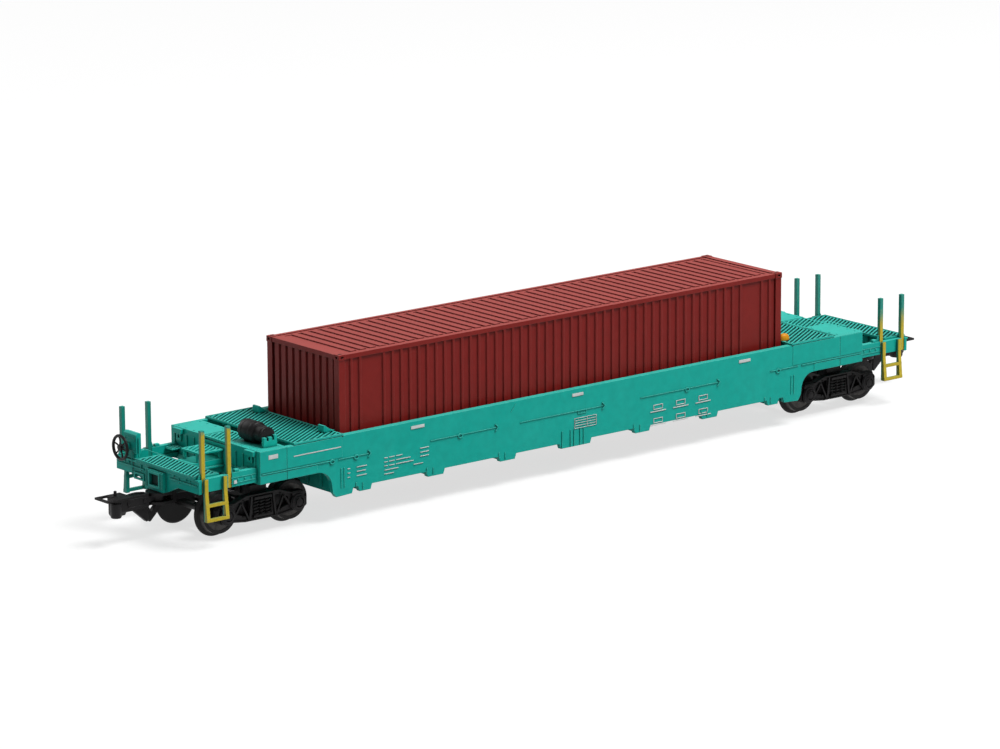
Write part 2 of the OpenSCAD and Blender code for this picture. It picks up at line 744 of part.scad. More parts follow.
// number: 1 and 2 under the left bogie, 3 and 4 under the right one
module wheelset(number) {
    bogie = number <= 2 ? -1 : 1;
    axle = number % 2 == 1 ? -1 : 1;
    color(BLACK) translate([bogie * bogie_x + axle * axle_spacing / 2, 0, axle_z]) {
        for (side = [-1, 1]) at_side(side)
            translate([0, back_to_back / 2, 0]) rotate([-90, 0, 0]) rotate_extrude($fn = 64) wheel_section();
        bar_y(0, 0, axle_d / 2, -wheel_out + 0.5, wheel_out - 0.5);
        bar_y(0, 0, journal_d / 2, -journal_end, journal_end);
    }
}

// ---- couplers ----

module coupler(end) {
    pin_x = 12;         // from the coupler's pivot to its uncoupling pin
    head = coupler_head;
    eye_z = pocket_z + pocket_t + seat_gap;
    eye_h = pocket_h - 2 * (pocket_t + seat_gap);
    arm_x = pocket_r + 0.45;
    low = 7.2;          // underside of the head
    top = 11.1;
    loop_z = top + 0.05;
    loop_w = 2.6;
    bar = 0.65;
    color(BLACK) at_end(end) translate([bogie_x + tongue_x, 0, 0]) difference() {
        union() {
            translate([0, 0, eye_z]) cylinder(r = 1.8, h = eye_h);
            block([0, -1.1, eye_z], [arm_x + 0.1, 1.1, eye_z + eye_h]);
            block([arm_x, -1.1, coupler_arm_z[0]], [head[0] + 0.1, 1.1, coupler_arm_z[1]]);
            // gusset below the arm
            across_y(-0.6, 0.6)
                polygon([[arm_x, coupler_arm_z[0] + 0.1], [arm_x, web_z + 0.3], [arm_x + 0.3, web_z + 0.1],
                         [arm_x + 4.3, coupler_arm_z[0] + 0.1]]);
            // head with its hook
            difference() {
                across_x(head[0], head[1])
                    polygon([[-1.9, low + 1.1], [-1.1, low], [1.1, low], [1.9, low + 1.1], [1.9, top], [-1.9, top]]);
                block([head[0] + 1, -0.3, low - 1], [head[1] - 0.8, 2.5, top - 0.9]);
                block([head[1] - 1.2, 0.7, low - 1], [head[1] + 1, 2.5, top - 0.9]);
            }
            // uncoupling pin and loop
            translate([pin_x, 0, top - 0.5]) cylinder(r1 = 0.5, r2 = 0.35, h = 2.4, $fn = 24);
            difference() {
                block([head[0] - 1.2, -loop_w, loop_z], [coupler_l, loop_w, loop_z + 0.5]);
                block([head[1] + 0.2, -loop_w + bar, loop_z - 1], [coupler_l - bar, loop_w - bar, loop_z + 1]);
            }
            block([head[0] - 0.6, -1.1, top - 0.1], [head[1], 1.1, loop_z + 0.1]);
        }
        // eye
        translate([0, 0, eye_z - 1]) cylinder(r = coupler_pin_r + pivot_gap, h = eye_h + 2);
        // hole through the arm
        bar_y(4.8, coupler_arm_z[0] + 0.7, 0.35, -2, 2);
    }
}

// ---- every node, one at a time ----

side_sill(-1);  // side_sill_front
side_sill(1);  // side_sill_back
well_crossmembers();
well_end(-1);  // well_end_left
well_end(1);  // well_end_right
bolster(-1);  // bolster_left
bolster(1);  // bolster_right
centre_sill(-1);  // centre_sill_left
centre_sill(1);  // centre_sill_right
headstock(-1);  // headstock_left
headstock(1);  // headstock_right
side_beams(-1);  // side_beams_left
side_beams(1);  // side_beams_right
end_grating(-1);  // end_grating_left
end_grating(1);  // end_grating_right
upper_walkway(-1);  // upper_walkway_left
upper_walkway(1);  // upper_walkway_right
middle_steps(-1);  // middle_steps_left
middle_steps(1);  // middle_steps_right
corner_posts(-1);  // corner_posts_left
corner_posts(1);  // corner_posts_right
corner_ladders(-1);  // corner_ladders_left
corner_ladders(1);  // corner_ladders_right
container_guides();
marked_guide();
brake_stand();
brake_wheel();
air_reservoir();
reservoir_bracket();
pivot_screws();
container_side(-1);  // container_side_front
container_side(1);  // container_side_back
container_closed_end();
container_door_end();
container_doors();
container_roof();
container_floor();
bogie_frame(-1);  // bogie_frame_left
bogie_frame(1);  // bogie_frame_right
wheelset(1);  // wheelset_1
wheelset(2);  // wheelset_2
wheelset(3);  // wheelset_3
wheelset(4);  // wheelset_4
coupler(-1);  // coupler_left
coupler(1);  // coupler_right
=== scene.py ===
import bpy, bmesh, json
import numpy as np
from math import radians, sin, cos, pi
from mathutils import Matrix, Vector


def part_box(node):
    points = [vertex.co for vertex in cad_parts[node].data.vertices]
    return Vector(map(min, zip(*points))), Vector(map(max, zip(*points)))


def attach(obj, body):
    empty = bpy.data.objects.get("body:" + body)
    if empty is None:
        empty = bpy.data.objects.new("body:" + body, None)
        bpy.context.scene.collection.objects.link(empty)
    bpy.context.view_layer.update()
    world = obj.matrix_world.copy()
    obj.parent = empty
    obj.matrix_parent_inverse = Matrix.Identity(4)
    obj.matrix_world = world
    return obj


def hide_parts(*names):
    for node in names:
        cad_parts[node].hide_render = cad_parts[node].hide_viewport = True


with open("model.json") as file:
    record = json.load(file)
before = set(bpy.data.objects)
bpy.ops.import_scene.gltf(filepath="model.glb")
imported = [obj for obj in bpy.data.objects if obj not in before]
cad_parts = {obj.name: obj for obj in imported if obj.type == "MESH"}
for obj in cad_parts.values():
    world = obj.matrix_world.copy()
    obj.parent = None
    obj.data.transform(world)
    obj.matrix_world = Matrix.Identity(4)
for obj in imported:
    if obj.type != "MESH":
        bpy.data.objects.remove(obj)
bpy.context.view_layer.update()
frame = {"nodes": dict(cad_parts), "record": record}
mm = 0.001    # all lengths below are in millimetres

# camera first
view = {"place": (-770.67, -925.18, 308.38), "azimuth": -39.449, "elevation": 13.410, "roll": -0.273,
        "lens": 182.41}


def makeCamera(v):    # place in mm; the camera looks along its azimuth and elevation, turned by its roll
    az, el, roll = (radians(v[k]) for k in ("azimuth", "elevation", "roll"))
    back = np.array((sin(az) * cos(el), -cos(az) * cos(el), sin(el)))
    level = np.array((cos(az), sin(az), 0.0))
    right = cos(roll) * level + sin(roll) * np.cross(back, level)
    turn = np.eye(4)
    turn[:3, 0], turn[:3, 1], turn[:3, 2] = right, np.cross(back, right), back
    turn[:3, 3] = np.array(v["place"]) * mm
    lens = bpy.data.cameras.new("camera")
    lens.lens, lens.sensor_width = v["lens"], 36
    lens.clip_start, lens.clip_end = 0.01, 50
    camera = bpy.data.objects.new("camera", lens)
    camera.matrix_world = Matrix(turn.tolist())
    bpy.context.scene.collection.objects.link(camera)
    bpy.context.scene.camera = camera


makeCamera(view)
print("camera placed")

# places, read from the frame


def cad(node):    # lowest and highest corner of a CAD node, in mm
    low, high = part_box(node)
    return np.array(low) * 1000, np.array(high) * 1000


sillLow, sillHigh = cad("side_sill_front")
sillEnd, sillFace, sillTop = sillHigh[0], -sillLow[1], sillHigh[2]
bolsterLow, bolsterHigh = cad("bolster_right")
bogieX = (bolsterLow[0] + bolsterHigh[0]) / 2
wheelLow, wheelHigh = cad("wheelset_3")
axleLow, axleHigh = cad("wheelset_4")
innerAxle, outerAxle = (wheelLow[0] + wheelHigh[0]) / 2, (axleLow[0] + axleHigh[0]) / 2
axleHalf = (outerAxle - innerAxle) / 2
axleZ = (wheelLow[2] + wheelHigh[2]) / 2
treadR = (wheelHigh[2] - wheelLow[2]) / 2 - 0.9    # less the flange
headFace = cad("headstock_right")[1][0]
boxEnd, boxHalf, boxTop = cad("container_door_end")[1]
closedEnd = cad("container_closed_end")[0][0]
boxMiddle, boxReach = (boxEnd + closedEnd) / 2, (boxEnd - closedEnd) / 2
postLow, postHigh = cad("corner_posts_right")
gratingLow, gratingHigh = cad("end_grating_right")
walkLow, walkHigh = cad("upper_walkway_right")

# surfaces, each a function of two parameters


def rect(a0, b0, a1, b1):    # four corners, going round
    return np.array([(a0, b0), (a1, b0), (a1, b1), (a0, b1)], float)


def ellipse(a, b, ra, rb, steps=24):    # point(t) = centre + radii times cos(t), sin(t)
    t = np.linspace(0, 2 * pi, steps, endpoint=False)
    return np.stack((a + ra * np.cos(t), b + rb * np.sin(t)), 1)


def strip(a0, b0, a1, b1, width):    # outline of a straight strip between two points
    p, q = np.array((a0, b0), float), np.array((a1, b1), float)
    n = np.array((-(q - p)[1], (q - p)[0])) / np.hypot(*(q - p)) * width / 2
    return np.array((p - n, q - n, q + n, p + n))


def span(side, a, b):    # the same two distances on side +1 or -1, the lower one first
    return min(side * a, side * b), max(side * a, side * b)


def place(a, b, t, axis):    # outline coordinates a, b and distance t along the axis, put in X, Y, Z
    return np.stack({"x": (t, a, b), "y": (a, t, b), "z": (a, b, t)}[axis], -1).reshape(-1, 3)


def gridFaces(rows, cols, loopRows=False):    # quads of a grid whose columns close on themselves
    r = np.arange(rows if loopRows else rows - 1)[:, None]
    c = np.arange(cols)[None, :]
    r2, c2 = (r + 1) % rows, (c + 1) % cols
    return np.stack((r * cols + c, r * cols + c2, r2 * cols + c2, r2 * cols + c), -1).reshape(-1, 4).tolist()


def capped(rows, cols):    # the same grid with its first and last ring filled
    last = (rows - 1) * cols
    return gridFaces(rows, cols) + [list(range(cols))[::-1], list(range(last, last + cols))]


def carry(outline, low, high, axis):    # point(i, k) = outline[i] carried to low or high along the axis
    p = np.asarray(outline, float)
    a, b = np.tile(p[:, 0], (2, 1)), np.tile(p[:, 1], (2, 1))
    t = np.repeat([[low], [high]], len(p), 1)
    return place(a, b, t, axis), capped(2, len(p))


def block(x0, y0, z0, x1, y1, z1):    # a rectangle carried along X
    return carry(rect(y0, z0, y1, z1), x0, x1, "x")


# a plate with a hole: outer and inner outline, each at low and high
def hollow(outer, inner, low, high, axis):
    p, q = np.asarray(outer, float), np.asarray(inner, float)
    rings = np.stack((p, p, q, q))
    t = np.repeat([[low], [high], [high], [low]], len(p), 1)
    return place(rings[..., 0], rings[..., 1], t, axis), gridFaces(4, len(p), True)


def turned(profile, centre, axis, steps=32):    # point(k, angle): profile[k] is a radius and a distance
    p = np.asarray(profile, float)
    angle = np.linspace(0, 2 * pi, steps, endpoint=False)
    a = p[:, :1] * np.cos(angle) + centre[0]
    b = p[:, :1] * np.sin(angle) + centre[1]
    return place(a, b, np.repeat(p[:, 1:], steps, 1), axis), capped(len(p), steps)


def tube(path, radius, up=(0, 0, 1), steps=8):    # a ring of the given radius carried square to the path
    p = np.asarray(path, float)
    along = np.gradient(p, axis=0)
    along /= np.linalg.norm(along, axis=1)[:, None]
    side = np.cross(along, up)
    side /= np.linalg.norm(side, axis=1)[:, None]
    rise = np.cross(side, along)
    angle = np.linspace(0, 2 * pi, steps, endpoint=False)[None, :, None]
    ring = p[:, None] + radius * (np.cos(angle) * side[:, None] + np.sin(angle) * rise[:, None])
    return ring.reshape(-1, 3), capped(len(p), steps)


def hoop(centre, radius, wire, axis, steps=40, sides=12):    # torus: wire circle turned about the axis
    u = np.linspace(0, 2 * pi, steps, endpoint=False)[:, None]
    v = np.linspace(0, 2 * pi, sides, endpoint=False)[None, :]
    r = radius + wire * np.cos(v)
    rise = centre[2] + wire * np.sin(v) + 0 * u
    points = place(centre[0] + r * np.cos(u), centre[1] + r * np.sin(u), rise, axis)
    return points, gridFaces(steps, sides, True)


def coil(centre, radius, wire, low, high, turns, steps=14, sides=6):    # a round wire along a helix about Z
    t = np.linspace(0, 1, int(turns * steps) + 1)
    angle = 2 * pi * turns * t
    x, y = centre[0] + radius * np.cos(angle), centre[1] + radius * np.sin(angle)
    path = np.stack((x, y, low + (high - low) * t), 1)
    return tube(path, wire, steps=sides)


def moved(shell, turn=(1, 1, 1), shift=(0, 0, 0)):    # turn holds 1 or -1 for each axis
    return shell[0] * np.array(turn) + np.array(shift), shell[1]


def joined(shells):    # all shells in one list of points and faces
    points, faces, start = [], [], 0
    for p, f in shells:
        points.append(p)
        faces += [[i + start for i in face] for face in f]
        start += len(p)
    return np.concatenate(points), faces


def fourWays(shells):    # a piece drawn at the +X, +Y corner, put at all four corners
    return [moved(s, (a, b, 1)) for s in shells for a in (-1, 1) for b in (-1, 1)]


def halfTurn(shells):    # the same piece at the opposite corner
    return [moved(s, (-1, -1, 1)) for s in shells]


pieces = []


# bevel in mm, smooth in degrees
def addPiece(name, shells, body, slot, look=None, bevel=0.0, smooth=None, replaces=()):
    points, faces = joined(shells)
    mesh = bpy.data.meshes.new(name)
    mesh.from_pydata((points * mm).tolist(), [], faces)
    solid = bmesh.new()
    solid.from_mesh(mesh)
    bmesh.ops.recalc_face_normals(solid, faces=solid.faces)
    solid.to_mesh(mesh)
    solid.free()
    if smooth:
        mesh.shade_smooth()
        mesh.set_sharp_from_angle(angle=radians(smooth))
    piece = bpy.data.objects.new(name, mesh)
    bpy.context.scene.collection.objects.link(piece)
    mesh.materials.append(finish[look or slotFinish[slot]])    # the slot's own finish unless another is named
    if bevel:
        edge = piece.modifiers.new("edges", "BEVEL")
        edge.width, edge.segments, edge.limit_method, edge.angle_limit = bevel * mm, 1, "ANGLE", radians(40)
    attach(piece, body)
    for node in replaces:
        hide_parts(node)
    pieces.append(name)
    return piece


# materials


class Nodes:    # short names for making a node tree
    def __init__(self, name):
        self.material = bpy.data.materials.new(name)
        self.material.use_nodes = True
        self.tree = self.material.node_tree
        self.shader = self.tree.nodes["Principled BSDF"]
        self.place = self.add("ShaderNodeTexCoord").outputs

    def add(self, kind, values=None, **settings):
        node = self.tree.nodes.new(kind)
        for key, value in settings.items():
            setattr(node, key, value)
        for key, value in (values or {}).items():
            if isinstance(value, bpy.types.NodeSocket):
                self.tree.links.new(value, node.inputs[key])
            else:
                node.inputs[key].default_value = value
        return node

    def math(self, what, a, b=0.0, c=0.0, clamp=False):
        return self.add("ShaderNodeMath", {0: a, 1: b, 2: c}, operation=what, use_clamp=clamp).outputs[0]

    def noise(self, size, detail=3.0, rough=0.55, stretch=(1, 1, 1)):    # size of the pattern in mm
        spread = self.add("ShaderNodeMapping", {"Vector": self.place["Object"], "Scale": stretch}).outputs[0]
        amounts = {"Vector": spread, "Scale": 1000 / size, "Detail": detail, "Roughness": rough}
        return self.add("ShaderNodeTexNoise", amounts).outputs[0]

    def between(self, value, low, high, out0=0.0, out1=1.0):
        return self.add("ShaderNodeMapRange", {0: value, 1: low, 2: high, 3: out0, 4: out1}).outputs[0]

    def mix(self, factor, a, b, kind="MIX"):
        node = self.add("ShaderNodeMix", data_type="RGBA", blend_type=kind)
        for socket, value in ((node.inputs[0], factor), (node.inputs[6], a), (node.inputs[7], b)):
            if isinstance(value, bpy.types.NodeSocket):
                self.tree.links.new(value, socket)
            else:
                socket.default_value = value
        return node.outputs[2]

    def axes(self, what="Object"):
        return self.add("ShaderNodeSeparateXYZ", {0: self.place[what]}).outputs

    def give(self, **sockets):
        for key, value in sockets.items():
            socket = self.shader.inputs[key.replace("_", " ")]
            if isinstance(value, bpy.types.NodeSocket):
                self.tree.links.new(value, socket)
            else:
                socket.default_value = value


def rgba(r, g, b):
    return (r, g, b, 1)


plastics = {    # colour, pale colour for mottle and for the painted highlight on edges and top faces, colour of the painted shade in recesses; grain is in mm, the rest are amounts
    "wagonGreen": {"colour": (0.003, 0.52, 0.43), "paleAndHighlight": (0.20, 0.84, 0.72), "deep": (0.001, 0.040, 0.036),
                   "mottle": 0.05, "dust": 0.03, "rough": 0.42, "grain": 0.16, "bump": 0.10, "edge": 0.8,
                   "recess": 0.88, "top": 0.16},
    "containerRed": {"colour": (0.255, 0.0125, 0.0095), "paleAndHighlight": (0.66, 0.17, 0.15),
                     "deep": (0.045, 0.004, 0.004), "mottle": 0.05, "dust": 0.02, "rough": 0.46, "grain": 0.14,
                     "bump": 0.12, "edge": 0.55, "recess": 0.9, "top": 0.42},
    "mouldedBlack": {"colour": (0.0085, 0.0075, 0.0085), "paleAndHighlight": (0.045, 0.040, 0.042),
                     "deep": (0.002, 0.0018, 0.002), "mottle": 0.1, "dust": 0.04, "rough": 0.45, "grain": 0.18,
                     "bump": 0.2, "edge": 0.6, "recess": 0.8, "top": 0.0},
    "wheelBlack": {"colour": (0.0085, 0.008, 0.0085), "paleAndHighlight": (0.05, 0.045, 0.043),
                   "deep": (0.002, 0.0018, 0.002), "mottle": 0.1, "dust": 0.05, "rough": 0.36, "grain": 0.15,
                   "bump": 0.12, "edge": 0.6, "recess": 0.8, "top": 0.0},
    "guideOrange": {"colour": (0.82, 0.33, 0.010), "paleAndHighlight": (0.95, 0.55, 0.10), "deep": (0.25, 0.08, 0.005),
                    "mottle": 0.1, "dust": 0.02, "rough": 0.38, "grain": 0.2, "bump": 0.12, "edge": 0.4,
                    "recess": 0.5, "top": 0.1},
    "printWhite": {"colour": (0.84, 0.87, 0.86), "paleAndHighlight": (0.9, 0.9, 0.9), "deep": (0.4, 0.4, 0.4),
                   "mottle": 0.1, "dust": 0.02, "rough": 0.5, "grain": 0.12, "bump": 0.1, "edge": 0.0,
                   "recess": 0.2, "top": 0.0},
    # a dark green standing for shade: the sheets under the gratings and the backs of the coupler pockets
    "paintedShadeGreen": {"colour": (0.001, 0.030, 0.026), "paleAndHighlight": (0.01, 0.10, 0.09), "deep": (0.001, 0.01, 0.01),
                  "mottle": 0.1, "dust": 0.02, "rough": 0.6, "grain": 0.12, "bump": 0.1, "edge": 0.0,
                  "recess": 0.5, "top": 0.0},
    # a near black: the painted shadow under each walkway's side, and the door seal
    "darkGap": {"colour": (0.006, 0.004, 0.004), "paleAndHighlight": (0.02, 0.02, 0.02), "deep": (0.001, 0.001, 0.001),
                "mottle": 0.1, "dust": 0.01, "rough": 0.7, "grain": 0.12, "bump": 0.1, "edge": 0.0,
                "recess": 0.5, "top": 0.0},
}


# edge rounding for the bump and the painted edge highlight, how far the painted shade in recesses reaches,
# grain depth, dust colour and specular level
wearAndPaintedLight = {"round": 0.12, "recessReach": 1.1, "grainDepth": 0.03, "dust": (0.42, 0.40, 0.36), "specular": 0.22}
opening = {"fromEnd": 1.03, "fromSide": 0.93, "halfX": 0.64, "halfY": 0.34, "below": 0.05,
           "dark": (0.004, 0.003, 0.003)}


def castingHoles(n, colour):    # the oval openings in the tops of the corner castings, as dark marks of painted shade in place of holes
    x, y, z = n.axes()[:3]
    alongX = n.math("ABSOLUTE", n.math("SUBTRACT", x, boxMiddle * mm))
    u = n.math("DIVIDE", n.math("SUBTRACT", alongX, (boxReach - opening["fromEnd"]) * mm),
               opening["halfX"] * mm)
    alongY = n.math("SUBTRACT", n.math("ABSOLUTE", y), (boxHalf - opening["fromSide"]) * mm)
    v = n.math("DIVIDE", alongY, opening["halfY"] * mm)
    r = n.math("ADD", n.math("MULTIPLY", u, u), n.math("MULTIPLY", v, v))
    atTop = n.math("GREATER_THAN", z, (boxTop - opening["below"]) * mm)
    return n.mix(n.math("MULTIPLY", n.between(r, 1.1, 0.9), atTop), colour, rgba(*opening["dark"]))


# moulded plastic: mottled colour, fine grain, a painted highlight on edges and top faces, painted shade in
# recesses, a little dust
def plastic(name, look):
    n = Nodes(name)
    cloud = n.noise(9, 4)
    colour = n.mix(n.between(cloud, 0.35, 0.7, 0.0, look["mottle"]), rgba(*look["colour"]), rgba(*look["paleAndHighlight"]))
    shade = n.between(n.noise(2.2, 4), 0.3, 0.75, 0.92, 1.06)
    grey = n.add("ShaderNodeCombineColor", {0: shade, 1: shade, 2: shade}).outputs[0]
    colour = n.mix(1.0, colour, grey, "MULTIPLY")
    upward = n.between(n.axes("Normal")[2], 0.6, 0.95)
    # top faces painted lighter towards the pale colour: a painted highlight of the light from above
    colour = n.mix(n.math("MULTIPLY", upward, look["top"]), colour, rgba(*look["paleAndHighlight"]))
    dust = n.math("MULTIPLY", upward, n.between(n.noise(1.6, 5), 0.4, 0.75, 0.0, look["dust"]))
    colour = n.mix(dust, colour, rgba(*wearAndPaintedLight["dust"]))
    rounded = n.add("ShaderNodeBevel", {"Radius": wearAndPaintedLight["round"] * mm}, samples=4).outputs[0]
    # edges lightened towards the pale colour in patches: a painted highlight on the rounded edges
    if look["edge"]:
        flat = n.add("ShaderNodeNewGeometry").outputs["True Normal"]
        along = n.add("ShaderNodeVectorMath", {0: rounded, 1: flat}, operation="DOT_PRODUCT").outputs["Value"]
        patches = n.between(n.noise(0.9, 4), 0.3, 0.6, 0.35, look["edge"])
        colour = n.mix(n.math("MULTIPLY", n.between(along, 0.995, 0.88), patches), colour, rgba(*look["paleAndHighlight"]))
    # recesses darkened towards the deep colour by ambient occlusion: painted shade
    openness = n.add("ShaderNodeAmbientOcclusion", {"Distance": wearAndPaintedLight["recessReach"] * mm},
                     samples=5).outputs["AO"]
    colour = n.mix(n.between(openness, 0.86, 0.30, 0.0, look["recess"]), colour, rgba(*look["deep"]))
    if name == "containerRed":
        colour = castingHoles(n, colour)
    grain = n.add("ShaderNodeBump", {"Height": n.noise(look["grain"], 2), "Strength": look["bump"],
                                     "Distance": wearAndPaintedLight["grainDepth"] * mm, "Normal": rounded}).outputs[0]
    rough = n.between(cloud, 0.3, 0.75, look["rough"] - 0.05, look["rough"] + 0.1)
    n.give(Base_Color=colour, Roughness=rough, Normal=grain)
    n.shader.inputs["Specular IOR Level"].default_value = wearAndPaintedLight["specular"]
    return n.material


finish = {name: plastic(name, look) for name, look in plastics.items()}

# olive is the yellow in painted shade on the side faces, and on dull patches
paint = {"yellow": (0.74, 0.56, 0.022), "olive": (0.36, 0.33, 0.03), "green": (0.006, 0.33, 0.26), "turn": 0.55,
         # deep is the colour of the painted shade in recesses
         "greenWorn": (0.03, 0.30, 0.20), "deep": (0.02, 0.03, 0.005), "round": 0.1, "recessReach": 0.9,
         "ladderEdge": 16.75, "postEdge": 15.5,    # distance from the middle past which the sides are painted
         "fade": {"start": (27.0, 20.5), "reach": (0.8, 4.5)}}    # heights in mm at the -X and the +X end


# green moulding, painted yellow on its outer faces and the outer part of its sides
def paintedPost(name, edge, fade):
    n = Nodes(name)
    xyz, normal = n.axes(), n.axes("Normal")
    facing = n.math("MULTIPLY", normal[1], n.math("SIGN", xyz[1]))
    outward = n.between(facing, paint["turn"] - 0.15, paint["turn"] + 0.05)
    wander = n.between(n.noise(0.8, 3), 0.3, 0.7, -0.08, 0.08)
    reach = n.math("ADD", n.math("MULTIPLY", n.math("ABSOLUTE", xyz[1]), 1000), wander)
    side = n.between(reach, edge - 0.05, edge + 0.08)
    near = n.math("LESS_THAN", xyz[1], 0.0)
    painted = n.math("MAXIMUM", outward, n.math("MULTIPLY", n.math("MULTIPLY", side, near), 0.8))
    if fade:    # thin paint towards the top, and from lower down at the +X end
        start = n.between(xyz[0], 0.0, mm, *fade["start"])
        ragged = n.between(n.noise(1.2, 3), 0.3, 0.7, -0.8, 0.8)
        height = n.math("ADD", n.math("MULTIPLY", xyz[2], 1000), ragged)
        spread = n.between(xyz[0], 0.0, mm, *fade["reach"])
        thin = n.math("DIVIDE", n.math("SUBTRACT", height, start), spread, clamp=True)
        painted = n.math("MULTIPLY", painted, n.math("SUBTRACT", 1.0, thin))
    patch = n.between(n.noise(0.7, 4), 0.4, 0.66, 0.0, 0.3)
    # faces that don't face outward, the painted sides among them, turn olive as painted shade; random patches
    # turn olive too
    patchesAndSideShade = n.math("MAXIMUM", patch, n.math("SUBTRACT", 0.75, outward))
    yellow = n.mix(patchesAndSideShade, rgba(*paint["yellow"]), rgba(*paint["olive"]))
    cloud = n.between(n.noise(2.5, 3), 0.35, 0.7, 0.0, 0.3)
    green = n.mix(cloud, rgba(*paint["green"]), rgba(*paint["greenWorn"]))
    rounded = n.add("ShaderNodeBevel", {"Radius": paint["round"] * mm}, samples=4).outputs[0]
    # recesses darkened towards the deep colour by ambient occlusion: painted shade
    openness = n.add("ShaderNodeAmbientOcclusion", {"Distance": paint["recessReach"] * mm},
                     samples=5).outputs["AO"]
    colour = n.mix(n.between(openness, 0.8, 0.3, 0.0, 0.7), n.mix(painted, green, yellow), rgba(*paint["deep"]))
    grain = n.add("ShaderNodeBump", {"Height": n.noise(0.2, 2), "Strength": 0.15,
                                     "Distance": wearAndPaintedLight["grainDepth"] * mm, "Normal": rounded}).outputs[0]
    n.give(Base_Color=colour, Roughness=n.between(patch, 0, 0.3, 0.38, 0.5), Normal=grain)
    return n.material


finish["ladderYellow"] = paintedPost("ladderYellow", paint["ladderEdge"], None)
finish["postGreen"] = paintedPost("postGreen", paint["postEdge"], paint["fade"])


def turnedSteel(name, colour, rough, size):    # bright metal with fine scratches and small dull spots
    n = Nodes(name)
    scratch = n.noise(size, 2, 0.6, (1, 1, 6))
    dull = n.between(n.noise(1.1, 4), 0.45, 0.7)
    bump = n.add("ShaderNodeBump", {"Height": scratch, "Strength": 0.15, "Distance": 0.01 * mm}).outputs[0]
    n.give(Base_Color=n.mix(dull, rgba(*colour), rgba(*[c * 0.55 for c in colour])),
           Roughness=n.between(scratch, 0.3, 0.7, rough, rough + 0.2), Normal=bump)
    n.shader.inputs["Metallic"].default_value = 1.0
    return n.material


finish["screwSteel"] = turnedSteel("screwSteel", (0.52, 0.52, 0.53), 0.28, 0.25)
finish["treadSteel"] = turnedSteel("treadSteel", (0.06, 0.057, 0.055), 0.34, 0.2)

slotFinish = {"wagon_green": "wagonGreen", "container_red": "containerRed", "moulded_black": "mouldedBlack",
              "wheel_black": "wheelBlack", "ladder_yellow": "ladderYellow", "guide_orange": "guideOrange",
              "screw_steel": "screwSteel"}
for part in frame["record"]["subparts"]:
    node = frame["nodes"][part["node"]]
    look = "postGreen" if part["node"].startswith("corner_posts") else slotFinish[part["material_slot"]]
    node.data.materials.clear()
    node.data.materials.append(finish[look])
print("materials made")

# side sills
sillTrim = {"ledgeZ": 15.3, "ledgeH": 0.24, "ledgeOut": 0.2, "plateOut": 0.08, "endLedge": (74.4, 94.9),
            "jointX": 87.6, "jointGap": 0.14,
            "ledges": ((-45, -24.9), (-17.5, -6.5), (-6.5, 8.75), (20.7, 46.3), (63.7, 73.2), (-72.6, -63.5)),
            "arrows": (-24.9, 8.75, 46.3, -63.5), "hooks": (-36, 36, -67.3, 66.4, -74.4),
            "footRibs": (-4.35, -1.66, -0.55, 1.36, 2.48), "footRibTop": 10.9,
            "cheekRibs": (-71.8, -70.9, 70.9, 71.8), "lowPlate": (78.7, 13.08), "highPlate": 71.4, "clear": 0.3,
            "brace": (-20.3, 18.3, -18.8, 20.1), "lugs": (-64.7, -43.5, -21.4, 21.4, 43.5, 64.7),
            "keeper": (0.6, 3.4), "sink": 0.1}    # sink is how far a raised part reaches into the sill


def sillPieces(t):    # plates, ledges, arrows, hooks and ribs on the outer face at -Y
    f, sink, clear, shells = sillFace, t["sink"], t["clear"], []

    def flat(outline, out):
        shells.append(carry(outline, -f - out, -f + sink, "y"))

    z, top = t["ledgeZ"], sillTop - 0.1
    for s in (-1, 1):
        joint, gap, end = t["jointX"], t["jointGap"] / 2, sillEnd - 0.05
        arch, low = t["lowPlate"]
        for near, far in ((joint + gap, end), (arch, joint - gap)):    # plates under the ledge
            x0, x1 = span(s, near, far)
            flat(rect(x0, low, x1, z - clear), t["plateOut"] + 0.04)
        for near, far in ((joint + gap, end), (t["highPlate"], joint - gap)):    # plates over it
            x0, x1 = span(s, near, far)
            flat(rect(x0, z + clear, x1, top), t["plateOut"])
        x0, x1 = span(s, *t["endLedge"])
        flat(rect(x0, z - t["ledgeH"] / 2, x1, z + t["ledgeH"] / 2), t["ledgeOut"])
    for x0, x1 in t["ledges"]:
        flat(rect(x0, z - 0.1, x1, z + 0.08), t["ledgeOut"] - 0.02)
    for x in t["arrows"]:
        arrow = np.array(((-0.5, 0.85), (-0.1, 0.85), (0.75, 0), (-0.1, -0.85), (-0.5, -0.85), (0.3, 0)))
        flat(arrow + (x, z), t["ledgeOut"] + 0.08)
    for x in t["hooks"]:
        outer, inner = ellipse(x, z - 0.25, 0.75, 0.62), ellipse(x, z - 0.25, 0.45, 0.33)
        shells.append(hollow(outer, inner, -f - 0.24, -f + sink, "y"))
    x0, x1 = t["keeper"]
    outer, inner = rect(x0, z - 0.85, x1, z + 0.1), rect(x0 + 0.2, z - 0.65, x1 - 0.2, z - 0.1)
    shells.append(hollow(outer, inner, -f - 0.2, -f + sink, "y"))
    for x in t["footRibs"]:
        flat(rect(x - 0.13, 6.7, x + 0.13, t["footRibTop"]), 0.2)
    for x in t["cheekRibs"]:
        flat(rect(x - 0.12, 8.3, x + 0.12, 13.1), 0.14)
    flat(strip(*t["brace"], 0.2), 0.12)
    for c in t["lugs"]:    # small lugs over the feet
        flat(rect(c - 2.9, 8.1, c - 2.5, 8.9), 0.16)
        flat(rect(c - 0.9, 7.0, c - 0.65, 8.6), 0.16)
    return shells


front = sillPieces(sillTrim)
addPiece("sill_trim_front", front, "wagon", "wagon_green", bevel=0.04)
addPiece("sill_trim_back", halfTurn(front), "wagon", "wagon_green", bevel=0.04)
print("sill trim made")

